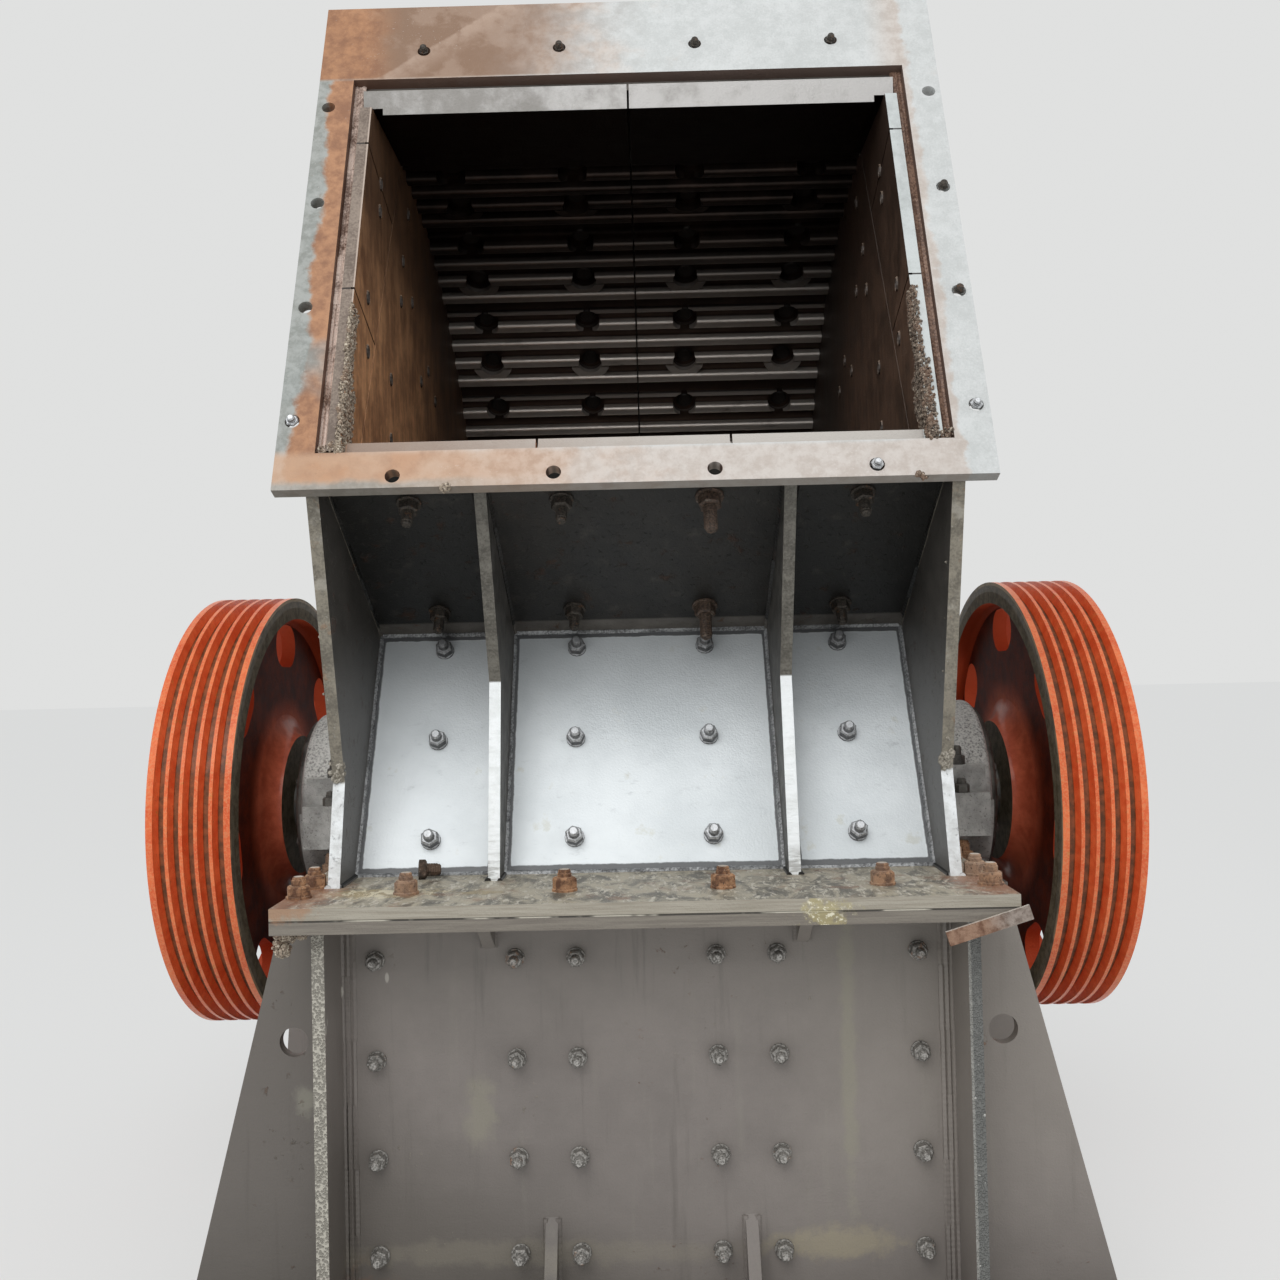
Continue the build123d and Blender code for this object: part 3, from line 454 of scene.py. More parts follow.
def mirrored_runs(runs, size=1.0):
    """Bead places for lines given on the right side, and for their mirror images on the left."""
    places = []
    for side in (-1, 1):
        for start, end in runs:
            places += bead_run(
                Vector((side * start.x, start.y, start.z)), Vector((side * end.x, end.y, end.z)), size,
            )
    return places


bead_unit = bead_shape()
base_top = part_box("base_frame")[1].z - parting_z
under_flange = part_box("lower_flange")[0].z - parting_z
side_in, side_out = 0.5, 0.52
wall_behind, wing_end, flange_half, flange_behind, pedestal_half = 0.805, 0.783, 0.566, 0.905, 0.14
foot_gussets, foot_gusset_top, foot_gusset_reach = (0.153, 0.173), -0.545, 0.148
top_gussets, top_gusset_foot = (0.247, 0.267), -0.102
lower_runs = []
for end in (-1, 1):
    wall = end * wall_behind
    lower_runs += [
        *[
            (at(corner_x, wall, base_top), at(corner_x, wall, under_flange))
            for corner_x in (side_in, 0.4905, 0.482, side_out)
        ],
        (at(0, wall, under_flange), at(side_in, wall, under_flange)),
        (at(0, wall, base_top), at(side_in, wall, base_top)),
        (at(side_out, wall, base_top), at(wing_end, wall, base_top)),
        (at(side_out, wall, under_flange), at(flange_half, wall, under_flange)),
        (at(side_out, end * pedestal_half, under_flange), at(side_out, end * flange_behind, under_flange)),
    ]
    for edge_x in foot_gussets:
        foot_behind = wall + end * foot_gusset_reach
        lower_runs.append((at(edge_x, wall, base_top), at(edge_x, wall, foot_gusset_top)))
        lower_runs.append((at(edge_x, wall, base_top), at(edge_x, foot_behind, base_top)))
    for edge_x in top_gussets:
        lower_runs.append((at(edge_x, wall, top_gusset_foot), at(edge_x, wall, under_flange)))
set_out("lower_welds", bead_unit, mirrored_runs(lower_runs), lower_paint)

# Parting flange: the rims that the two halves of the casing are bolted together by. Cut plate,
# wet dark paint mostly gone, with mud, yellowish stains and rust on top and pale cut edges.
flange_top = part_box("upper_flange")[1].z
flange_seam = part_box("upper_flange")[0].z
flange_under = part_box("lower_flange")[0].z
flange_steel, place, facing = new_finish("flange_steel")
z = place.axes()[2]
nz = facing.axes()[2]
grain = place.cloud(0.004, 5, 0.65)
blots = place.cloud(0.1, 5, 0.62)
mud = place.stretched(0.8, 0.4, 1).cloud(0.03, 6, 0.72, 0.6)
smear = place.stretched(0.5, 1, 14).cloud(0.06, 5, 0.65)
smeared = smear.ramp(0.35, 0.65)
fleck = place.stretched(0.8, 0.28, 1).cloud(0.0075, 4, 0.7).ramp(0.53, 0.59)
rust = place.cloud(0.05, 6, 0.75).ramp(0.5, 0.64)
ragged = place.cloud(0.02, 5, 0.7) - 0.5
top = nz.ramp(0.5, 0.9)
seam = z.line(flange_seam, 0.0007, 0.001)
lower_half = z.ramp(flange_seam + 0.001, flange_seam - 0.001)
lower_tone = smeared.blend((0.17, 0.148, 0.124), (0.225, 0.2, 0.165))
sealant = seam * place.stretched(1, 1, 0).cloud(0.09, 3).ramp(0.5, 0.58)
yellow = place.patch(at(0.27, -0.97, -0.02), (0.03, 0.04, 0.022), ragged * 2)
brown = place.patch(at(-0.55, -0.97, 0), (0.05, 0.05, 0.018), ragged)
top_tone = (
    mud.ramp(0.38, 0.58).blend((0.165, 0.15, 0.12), (0.5, 0.445, 0.34))
    .coat((0.66, 0.61, 0.51), fleck * mud.ramp(0.38, 0.46) * 0.95)
)
speckled = (fleck + mud.ramp(0.5, 0.56)).ramp(0, 1)
end_radii, end_rust = (0.055, 0.13, 0.03), (0.33, 0.15, 0.085)
for middle, radii, rough, tint, strength in (
    (at(-0.45, -0.86, 0), (0.11, 0.032, 0.03), 1.6, (0.46, 0.36, 0.2), 0.9),
    (at(-0.46, -0.862, 0), (0.13, 0.04, 0.03), 1.6, (0.86, 0.78, 0.58), speckled * 0.9),
    (at(-0.262, -0.868, 0), (0.03, 0.018, 0.03), 1.6, (0.4, 0.31, 0.17), 0.8),
    (at(-0.55, -0.86, 0), end_radii, 1.2, end_rust, 0.8),
    (at(0.55, -0.86, 0), end_radii, 1.2, end_rust, 0.8),
):
    top_tone = top_tone.coat(tint, place.patch(middle, radii, ragged * rough) * strength)
top_tone = top_tone.coat((0.27, 0.14, 0.08), rust * blots.ramp(0.5, 0.62) * 0.6)
colour = (
    smeared.blend((0.3, 0.268, 0.213), (0.39, 0.355, 0.292))
    .coat((0.46, 0.42, 0.35), smear.ramp(0.64, 0.78) * 0.4)
    .coat(lower_tone, lower_half)
    .coat((0.02, 0.017, 0.014), seam * 0.85)
    .coat((0.55, 0.51, 0.42), sealant * 0.9)
    .coat((0.46, 0.39, 0.17), yellow * 0.55)
    .coat((0.8, 0.76, 0.6), yellow * fleck * 0.8)
    .coat((0.36, 0.19, 0.1), brown * 0.7)
    .coat(top_tone, top)
    # Downward faces: painted shade.
    .coat((0.1, 0.085, 0.068), nz.ramp(-0.5, -0.9) * 0.8)
)
lay(
    flange_steel, colour, 0.52 - top * 0.16 + mud * 0.18,
    grain + mud * 1.2 + smear * 0.8 + fleck * top - seam * 2, 0.0012, 0.1,
)
dress(flange_steel, "upper_flange", "lower_flange")

# Flange bolts: M24, rusted orange, with wide flat washers. The nuts stand on top and the heads
# hang below. One bolt came out and lies on the flange by the slanted plate.
bolt_rust, place, facing = new_finish("bolt_rust")
z = place.axes()[2]
nx, ny, nz = facing.axes()
grain = place.cloud(0.004, 5, 0.7)
blots = place.cloud(0.018, 4, 0.65)
by_bolt = place.cloud(0.35, 1)
facing_up = nz.ramp(0.8, 0.95)
bolt_end = facing_up * z.ramp(flange_top + 0.025, flange_top + 0.029)
colour = (
    blots.ramp(0.36, 0.6).blend((0.13, 0.055, 0.027), (0.46, 0.245, 0.125))
    .coat((0.36, 0.26, 0.19), by_bolt.ramp(0.5, 0.62) * 0.65)
    .coat((0.66, 0.5, 0.34), grain.ramp(0.58, 0.7) * 0.6 + facing_up * 0.3)
    .coat((0.58, 0.53, 0.46), bolt_end * 0.8)
    .coat((0.06, 0.032, 0.02), grain.ramp(0.46, 0.32) * 0.8 + ny.ramp(-0.2, -0.8) * 0.25)
)
lay(bolt_rust, colour, 0.82, grain + blots, 0.0008)
bolt_dark, place, facing = new_finish("bolt_dark")
grain = place.cloud(0.004, 5, 0.7)
blots = place.cloud(0.018, 4, 0.65)
colour = (
    blots.ramp(0.36, 0.62).blend((0.026, 0.017, 0.012), (0.105, 0.064, 0.042))
    .coat((0.46, 0.39, 0.31), grain.ramp(0.58, 0.68) * 0.7)
)
lay(bolt_dark, colour, 0.7, grain + blots, 0.0012, 0.1)
flange_nut = nut_shape(0.034, 0.018, 0.0115, 0.01, washer=0.0205)
corner_nut = nut_shape(0.034, 0.016, 0.0115, 0.012, washer=0.0205)
flange_head = nut_shape(0.034, 0.015, 0, 0, washer=0.0205)
quarters = [(side, end) for side in (-1, 1) for end in (-1, 1)]
row_spots = [(side * px, end * 0.867) for side, end in quarters for px in (0.126, 0.379)]
side_spots = [(side * 0.5435, end * py) for side, end in quarters for py in (0.8, 0.64, 0.48, 0.335)]
corner_spots = [(side * 0.545, end * 0.885) for side, end in quarters]
for name, shape, spots, level, outwards in (
    ("flange_nuts", flange_nut, row_spots + side_spots, flange_top, (0, 0, 1)),
    ("corner_nuts", corner_nut, corner_spots, flange_top, (0, 0, 1)),
    ("flange_heads", flange_head, row_spots + side_spots + corner_spots, flange_under, (0, 0, -1)),
):
    level_spots = [((px, axis_y + behind, level), outwards) for px, behind in spots]
    set_nuts(name, shape, level_spots, bolt_rust)
dropped_bolt = nut_shape(0.03, 0.013, 0.011, 0.022, thread=0.004)
fallen = Matrix.Rotation(0.25, 4, "Z") @ Matrix.Rotation(1.62, 4, "Y") @ Matrix.Rotation(pi / 6, 4, "Z")
lying = Matrix.Translation(at(-0.383, -0.742, 0.0165)) @ fallen
set_out("dropped_bolt", dropped_bolt, [lying], bolt_dark)

# Slag: drops that ran off the torch and set as a crust. A lump hangs under the left end of the
# flange, ragged seams of it fill the front edges of the side liners, and a few knobs sit where
# the upper side plates bend.


def slag_run(start, end, spread, count, sizes, band=Vector()):
    """Places for set drops strewn along a line or a band, more of them small than large."""
    places = []
    for drop in range(count):
        point = start.lerp(end, (drop + chance.uniform(0, 1)) / count)
        point = point + Vector([chance.gauss(0, reach) for reach in spread])
        point = point + band * chance.uniform(0, 1)
        size = sizes[0] + (sizes[1] - sizes[0]) * chance.uniform(0, 1) ** 2.2
        wide = size * chance.uniform(0.7, 1.3)
        tall = size * chance.uniform(0.7, 1.5)
        spun = Matrix.Rotation(chance.uniform(0, 3), 4, "X")
        places.append(Matrix.Translation(point) @ spun @ Matrix.Diagonal((wide, size, tall, 1)))
    return places


bm = bmesh.new()
bmesh.ops.create_icosphere(bm, subdivisions=1, radius=1)
for vert in bm.verts:
    vert.co *= chance.uniform(0.82, 1.18)
drop_shape = closed_shape(bm)
slag_crust, place, facing = new_finish("slag_crust")
x = place.axes()[0]
grain = place.cloud(0.004, 4, 0.7)
tint = place.cloud(0.03, 4, 0.6)
# Drops towards the left get painted light: paler, with more pale specks.
sunny = x.ramp(0.3, -0.3)
colour = (
    grain.ramp(0.38, 0.6).blend((0.045, 0.032, 0.024), (0.24, 0.185, 0.14))
    .coat((0.4, 0.325, 0.245), sunny * grain.ramp(0.34, 0.52) * 0.7)
    .coat((0.72, 0.65, 0.53), (grain + sunny * 0.04).ramp(0.58, 0.66) * 0.85)
    .coat((0.26, 0.145, 0.09), tint.ramp(0.5, 0.64) * 0.4)
)
lay(slag_crust, colour, 0.75, grain, 0.0012, 0.1)
lump = []
for start, end, count, largest in (
    (at(-0.558, -0.948, -0.045), at(-0.53, -0.925, -0.047), 90, 0.0085),
    (at(-0.556, -0.946, -0.05), at(-0.552, -0.94, -0.072), 60, 0.0075),
):
    lump += slag_run(start, end, (0.004, 0.005, 0.004), count, (0.003, largest))
set_out("flange_slag", drop_shape, lump, slag_crust)

# Upper casing: side plates, chute floor, roof, rolled rear plate and rear wall. Welded 20 mm plate
# in dark paint, with painted shade near black in the pocket under the chute floor. The cut front
# edges are rough and tan, and below their bend ground bright, with painted sky light that makes
# them white.
bend_z = parting_z + 0.169
casing_steel, place, facing = new_finish("casing_steel")
x, y, z = place.axes()
nx, ny = facing.axes()[:2]
grain = place.cloud(0.0045, 5, 0.65)
blots = place.cloud(0.22, 5, 0.6)
mottle = place.cloud(0.035, 5, 0.65)
runs = place.stretched(8, 8, 0.7).cloud(0.3, 6, 0.65)
fleck = place.cloud(0.009, 5, 0.7).ramp(0.6, 0.68)
rust = place.cloud(0.05, 6, 0.7).ramp(0.58, 0.7)
ragged = place.cloud(0.02, 5, 0.7) - 0.5
patchy = (blots * 0.6 + mottle * 0.4).ramp(0.36, 0.64)
outside = patchy.blend((0.085, 0.076, 0.066), (0.15, 0.136, 0.12))
# Painted shade: near black in the pocket under the chute floor, darker in the outer bays.
shaded = (
    patchy.blend((0.006, 0.005, 0.004), (0.018, 0.015, 0.012))
    .coat((0.003, 0.003, 0.002), x.size().ramp(0.22, 0.3) * 0.6)
)
under_chute = y.ramp(axis_y - 0.42, axis_y - 0.47) * (y + z * 0.45).ramp(axis_y + 0.05, axis_y + 0.045)
pocket = x.size().ramp(0.5005, 0.4995) * under_chute
near_plate = y.ramp(axis_y - 0.46, axis_y - 0.58) * z.ramp(parting_z + 0.42, parting_z + 0.26)
cut_face = nx.size().ramp(0.5, 0.2) * ny.ramp(-0.1, -0.4) * x.size().ramp(0.4985, 0.4995)
rough_cut = (
    (mottle * 0.5 + grain * 0.5).ramp(0.38, 0.6).blend((0.12, 0.106, 0.082), (0.245, 0.218, 0.17))
    .coat((0.5, 0.47, 0.41), fleck * 0.7 + place.cloud(0.06, 4).ramp(0.6, 0.7) * 0.35)
    .coat((0.34, 0.17, 0.08), rust * 0.5)
)
# Cut edges below the bend: ground bright, with painted sky light that makes them white.
ground_and_sky_lit = mottle.ramp(0.35, 0.6).blend((0.62, 0.63, 0.62), (0.8, 0.82, 0.82))
below_bend = (z + ragged * 0.02).ramp(bend_z + 0.004, bend_z - 0.002)
colour = (
    outside.coat(shaded, pocket)
    .coat((0.085, 0.075, 0.06), runs.ramp(0.56, 0.74) * 0.35)
    .coat((0.16, 0.14, 0.11), fleck * mottle.ramp(0.45, 0.6) * (0.6 - pocket * 0.35))
    .coat((0.13, 0.055, 0.025), rust * (0.6 - pocket * 0.35))
    .coat((0.17, 0.165, 0.16), near_plate * nx.size().ramp(0.5, 0.9) * 0.55)
    .coat(rough_cut.coat(ground_and_sky_lit, below_bend), cut_face)
)
lay(
    casing_steel, colour, 0.4 + blots * 0.2 + rust * 0.25,
    grain * 0.6 + mottle * 0.8 + fleck * 0.8 + rust + cut_face * mottle * 3, 0.0012,
)
dress(
    casing_steel,
    "upper_left_side", "upper_right_side", "chute_floor",
    "roof_plate", "rear_curved_plate", "upper_rear_wall", "rear_ribs",
)
edge_slag, place, facing = new_finish("edge_slag")
grain = place.cloud(0.004, 4, 0.7)
colour = grain.ramp(0.36, 0.62).blend((0.15, 0.132, 0.105), (0.42, 0.385, 0.32))
lay(edge_slag, colour, 0.6, grain, 0.001, 0.1)
bend_slag = []
for start, end, spread, count, sizes in (
    (at(-0.511, -0.766, 0.176), at(-0.511, -0.77, 0.205), (0.005, 0.001, 0.004), 22, (0.004, 0.008)),
    (at(0.509, -0.766, 0.176), at(0.511, -0.77, 0.198), (0.005, 0.001, 0.004), 18, (0.004, 0.008)),
    (at(-0.511, -0.776, 0.22), at(-0.511, -0.845, 0.52), (0.006, 0.001, 0.008), 34, (0.0015, 0.003)),
    (at(0.511, -0.776, 0.22), at(0.511, -0.845, 0.52), (0.006, 0.001, 0.008), 34, (0.0015, 0.003)),
):
    bend_slag += slag_run(start, end, spread, count, sizes)
set_out("bend_slag", drop_shape, bend_slag, edge_slag)

# Front ribs: two plates that brace the slanted plate and the chute floor. Their edges are dark
# above the bend, and below it ground bright, with painted sky light that makes them white.
rib_bend_z = parting_z + 0.331
rib_steel, place, facing = new_finish("rib_steel")
z = place.axes()[2]
nx = facing.axes()[0]
grain = place.cloud(0.0045, 5, 0.65)
mottle = place.cloud(0.03, 5, 0.65)
lap = place.stretched(1, 1, 5).cloud(0.05, 4, 0.6)
cut_face = nx.size().ramp(0.5, 0.2)
upper_cut = (mottle * 0.5 + grain * 0.5).ramp(0.38, 0.62).blend((0.08, 0.073, 0.06), (0.18, 0.168, 0.142))
# Cut edges below the bend: ground bright, with painted sky light that makes them white.
lower_cut_ground_and_lit = (
    mottle.ramp(0.36, 0.6).blend((0.8, 0.82, 0.81), (0.9, 0.92, 0.92))
    .coat((0.36, 0.37, 0.36), lap.ramp(0.66, 0.78) * 0.6)
    .coat((0.3, 0.29, 0.27), z.ramp(parting_z + 0.055, parting_z + 0.02) * lap.ramp(0.42, 0.58) * 0.7)
)
colour = (
    mottle.ramp(0.36, 0.64).blend((0.04, 0.036, 0.031), (0.105, 0.098, 0.088))
    .coat((0.2, 0.195, 0.185), z.ramp(parting_z + 0.35, parting_z + 0.05) * mottle.ramp(0.4, 0.7) * 0.5)
    .coat(upper_cut.coat(lower_cut_ground_and_lit, z.ramp(rib_bend_z + 0.003, rib_bend_z - 0.001)), cut_face)
)
lay(rib_steel, colour, 0.42 + mottle * 0.25, grain * 0.6 + mottle + cut_face * lap * 2, 0.0012, 0.1)
dress(rib_steel, "front_ribs")

# Slanted front plate: bare silvery-blue sheet between the ribs, brighter than all the rest, with
# painted shade as dark borders along its weld beads and darkening it towards the top, scuffs and
# a few yellow-grey spots.
foot = at(0, -0.706, 0)
crease = at(0, -0.478, 0.422)
slope = crease - foot
slant_out = Vector((0, -slope.z, slope.y)).normalized()
slant_plate, place, facing = new_finish("slant_plate")
x, y, z = place.axes()
grain = place.cloud(0.004, 5, 0.6)
blots = place.cloud(0.2, 4, 0.55)
scuffs = place.stretched(1, 2, 2).cloud(0.04, 6, 0.7)
ragged = place.cloud(0.03, 5, 0.65) - 0.5
up_slope = (z - foot.z) * (1 / slope.z)
out_x = x.size() + ragged * 0.005
near_side = out_x.ramp(0.4875, 0.4915)
near_rib = out_x.line(0.252, 0.0185, 0.003)
border_up = up_slope + ragged * 0.012
wear_and_border_shade = (near_side + near_rib + border_up.ramp(0.034, 0.026) + border_up.ramp(0.968, 0.975)).ramp(0, 1)
colour = (
    blots.ramp(0.3, 0.66).blend((0.66, 0.7, 0.715), (0.82, 0.86, 0.875))
    .coat((0.5, 0.53, 0.545), scuffs.ramp(0.58, 0.74) * 0.5)
    .coat((0.6, 0.6, 0.52), place.cloud(0.05, 4, 0.6).ramp(0.64, 0.74) * 0.5)
    # Painted shade from the overhanging chute floor, darker towards the top.
    .coat((0.4, 0.415, 0.42), up_slope.ramp(0.5, 1.0) * 0.55)
    # Painted shade as dark borders along the weld beads and in the corners.
    .coat((0.07, 0.07, 0.072), wear_and_border_shade * 0.92)
)
lay(slant_plate, colour, 0.34 + blots * 0.2 + scuffs * 0.1, grain + blots + wear_and_border_shade, 0.0006, 0.2)
dress(slant_plate, "front_slant_plate")

# Weld beads of the upper casing, round the slanted plate, along the ribs, under the chute floor,
# behind the mouth flange, and down the roof, the rolled plate and the rear wall.
floor_front = at(0, -0.8834, 0.6754)
rib_top = crease.lerp(floor_front, (0.85 - 0.478) / (0.8834 - 0.478))
across = Vector((1, 0, 0))
inner_x, rib_in, rib_out = 0.5, 0.242, 0.262
slant_runs = [
    (crease, crease + across * rib_in), (crease + across * rib_out, crease + across * inner_x),
    (foot, foot + across * rib_in), (foot + across * rib_out, foot + across * inner_x),
]
front_runs = [
    (floor_front, floor_front + across * inner_x),
    (at(0.52, -0.811, 0), at(0.52, -0.122, 0)), (at(0.52, 0.122, 0), at(0.52, 0.786, 0)),
    (at(inner_x, -0.805, 0), foot + across * inner_x),
]
for edge_x in (rib_in, rib_out, inner_x):
    shift = across * edge_x
    slant_runs.append((foot + shift, crease + shift))
    front_runs.append((crease + shift, (rib_top if edge_x < inner_x else floor_front) + shift))
for edge_x in (rib_in, rib_out):
    front_runs.append((foot + across * edge_x, at(edge_x, -0.77, 0)))
front_runs.append((at(0.52, -0.8975, 0.64), at(0.52, -0.574, 1.441)))
set_out("front_welds", bead_unit, mirrored_runs(front_runs), casing_steel)
weld_bare, place, facing = new_finish("weld_bare")
grain = place.cloud(0.004, 5, 0.65)
blots = place.cloud(0.03, 4, 0.6)
colour = (grain * 0.6 + blots * 0.4).ramp(0.38, 0.62).blend((0.11, 0.11, 0.112), (0.44, 0.45, 0.455))
lay(weld_bare, colour, 0.4 + blots * 0.2, grain + blots, 0.0008, 0.4)
set_out("slant_welds", bead_unit, mirrored_runs(slant_runs, 1.05), weld_bare)

rear_low, rear_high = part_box("rear_curved_plate")
rear_radius = rear_high.z - rear_low.z
rear_middle = Vector((0, rear_low.y, rear_low.z))
roof_z = rear_high.z - parting_z
rear_foot = rear_low.z - parting_z
rear_behind = rear_high.y - axis_y
rear_runs = [(at(inner_x, -0.574, roof_z), at(inner_x, rear_low.y - axis_y, roof_z))]
arc_steps = 18
for step in range(arc_steps):
    ends = []
    for turn in (pi / 2 * step / arc_steps, pi / 2 * (step + 1) / arc_steps):
        ends.append(rear_middle + Vector((inner_x, rear_radius * cos(turn), rear_radius * sin(turn))))
    rear_runs.append(tuple(ends))
rear_runs += [
    (at(inner_x, rear_behind, 0), at(inner_x, rear_behind, rear_foot)),
    (at(0, rear_behind, 0), at(inner_x, rear_behind, 0)),
    (at(0, rear_behind, rear_foot), at(inner_x, rear_behind, rear_foot)),
]
for edge_x in (rib_in, rib_out):
    rear_runs.append((at(edge_x, rear_behind, 0), at(edge_x, rear_behind, rear_foot - 0.02)))
    rear_runs.append((at(edge_x, rear_behind, 0), at(edge_x, rear_behind + 0.125, 0)))
set_out("rear_welds", bead_unit, mirrored_runs(rear_runs), casing_steel)

# Nuts on the slanted plate and under the chute floor: bright M20 nuts on the plate, dull where the
# floor shades them, and dark ones with long threads under the floor, two of them rusted.
nut_bright, place, facing = new_finish("nut_bright")
y, z = place.axes()[1:]
ny, nz = facing.axes()[1:]
outwards = ny * slant_out.y + nz * slant_out.z
grain = place.cloud(0.003, 4, 0.6)
stains = place.cloud(0.012, 4, 0.65)
in_shade = z.ramp(crease.z - 0.055, crease.z - 0.02) * y.ramp(crease.y - 0.06, crease.y - 0.05)
colour = (
    grain.ramp(0.34, 0.6).blend((0.24, 0.24, 0.24), (0.58, 0.59, 0.6))
    .coat((0.05, 0.046, 0.044), stains.ramp(0.56, 0.68) * 0.8)
    # Nut sides turned down and away from the plate: painted shade.
    .coat((0.06, 0.06, 0.062), outwards.ramp(0.72, 0.4) * nz.ramp(0.45, -0.05) * 0.8)
    .coat((0.8, 0.82, 0.84), outwards.ramp(0.9, 0.98) * 0.55)
    .coat((0.075, 0.072, 0.07), in_shade * 0.55)
)
lay(nut_bright, colour, 0.34 + stains * 0.3, grain + stains, 0.0006, 0.5)
slant_nut = nut_shape(0.0285, 0.016, 0.0098, 0.014, washer=0.0175)
bolt_columns = (-0.3739, -0.1216, 0.1216, 0.3739)
slant_spots = [
    (across * px + crease - slope * down_share, slant_out)
    for px in bolt_columns
    for down_share in (0.077, 0.471, 0.868)
]
set_nuts("slant_plate_nuts", slant_nut, slant_spots, nut_bright)
nut_dark, place, facing = new_finish("nut_dark")
grain = place.cloud(0.003, 4, 0.6)
stains = place.cloud(0.012, 4, 0.65)
colour = (
    grain.ramp(0.34, 0.66).blend((0.022, 0.018, 0.015), (0.085, 0.072, 0.058))
    .coat((0.15, 0.07, 0.032), stains.ramp(0.56, 0.7) * 0.7)
)
lay(nut_dark, colour, 0.45 + stains * 0.3, grain + stains, 0.0006, 0.35)
nut_brown, place, facing = new_finish("nut_brown")
grain = place.cloud(0.004, 4, 0.65)
stains = place.cloud(0.015, 4, 0.65)
colour = (
    grain.ramp(0.36, 0.64).blend((0.036, 0.024, 0.017), (0.115, 0.074, 0.052))
    .coat((0.27, 0.22, 0.175), stains.ramp(0.58, 0.7) * 0.6)
)
lay(nut_brown, colour, 0.65, grain + stains, 0.001, 0.1)
floor_run = floor_front - crease
floor_down = Vector((0, -floor_run.z, floor_run.y)).normalized()
floor_nut = nut_shape(0.03, 0.017, 0.0098, 0.024, washer=0.021)
long_nut = nut_shape(0.034, 0.02, 0.0115, 0.046, washer=0.024, thread=0.005)
for name, shape, columns, finish in (
    ("chute_floor_nuts", floor_nut, (-0.3739, -0.1216, 0.3739), nut_dark),
    ("chute_floor_long_bolts", long_nut, (0.1216,), nut_brown),
):
    spots = [
        (across * px + crease + floor_run * share, floor_down)
        for px in columns
        for share in (0.165, 0.825)
    ]
    set_nuts(name, shape, spots, finish)

# Mouth flange: the frame that a feed hopper is bolted to. Worn pale plate, rusted orange down its
# left side and in soft patches elsewhere, with short studs left in some of its holes.
mouth_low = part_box("mouth_flange")[0]
lean = radians(68)
up_mouth = Vector((0, cos(lean), sin(lean)))
into_mouth = Vector((0, sin(lean), -cos(lean)))
mouth_foot = Vector((0, mouth_low.y, mouth_low.z + 0.022 * cos(lean)))


def on_mouth(px, up, behind=0.0):
    """Point by its X, its way up the front of the mouth flange and its depth behind that."""
    return across * px + mouth_foot + up_mouth * up + into_mouth * behind


mouth_paint, place, facing = new_finish("mouth_paint")
x, y, z = place.axes()
nx, ny, nz = facing.axes()
climb = (z - mouth_foot.z) * (1 / sin(lean))
grain = place.cloud(0.0035, 5, 0.68)
mottle = place.cloud(0.022, 5, 0.65)
blots = place.cloud(0.085, 5, 0.6)
clouds = place.cloud(0.26, 4, 0.55)
soft = clouds * 0.55 + blots * 0.45
bend_line = (blots - 0.5) * 0.05 + (mottle - 0.5) * 0.02
wavy_x = x + bend_line * 2
from_inner = x.size() - 0.505 + bend_line
low_strip = climb.ramp(0.075, 0.055)
high_strip = climb.ramp(0.865, 0.875)
left = x.ramp(-0.35, -0.52)
top_left = high_strip * (x + bend_line * 4).ramp(0.04, -0.3)
low_left = low_strip * wavy_x.ramp(0.0, -0.4)
left_rust = (from_inner.ramp(0.06, 0.02) + (clouds - 0.5) * 2.6).ramp(0.35, 0.75) * left
low_edge = low_strip * x.ramp(-0.1, -0.45) * (climb + bend_line * 0.5).ramp(0.02, 0.006)
wedge = x - climb * 1.25 + 1.551 + bend_line * 0.5
streak = wedge.ramp(-0.006, 0.006) * wedge.ramp(0.09, 0.005) * high_strip
inner_tan = (from_inner.ramp(0.02, 0.002) * (x.ramp(0.4, 0.52) + low_strip)).ramp(0.2, 1)
inner_sides = nx.size().ramp(0.5, 0.9) * x.size().ramp(0.51, 0.508)
inner_faces = (inner_sides + nz.ramp(-0.8, -0.95) * climb.ramp(0.8, 0.86)).ramp(0, 1)
wear_and_border_shade = (blots * 0.3 + mottle * 0.35 + grain * 0.35).ramp(0.4, 0.6)
tan = mottle.ramp(0.36, 0.62).blend((0.44, 0.31, 0.23), (0.56, 0.45, 0.375))
orange = (mottle * 0.6 + blots * 0.4).ramp(0.36, 0.62).blend((0.245, 0.105, 0.048), (0.43, 0.21, 0.1))
slate = mottle.ramp(0.36, 0.62).blend((0.215, 0.228, 0.21), (0.325, 0.338, 0.32))
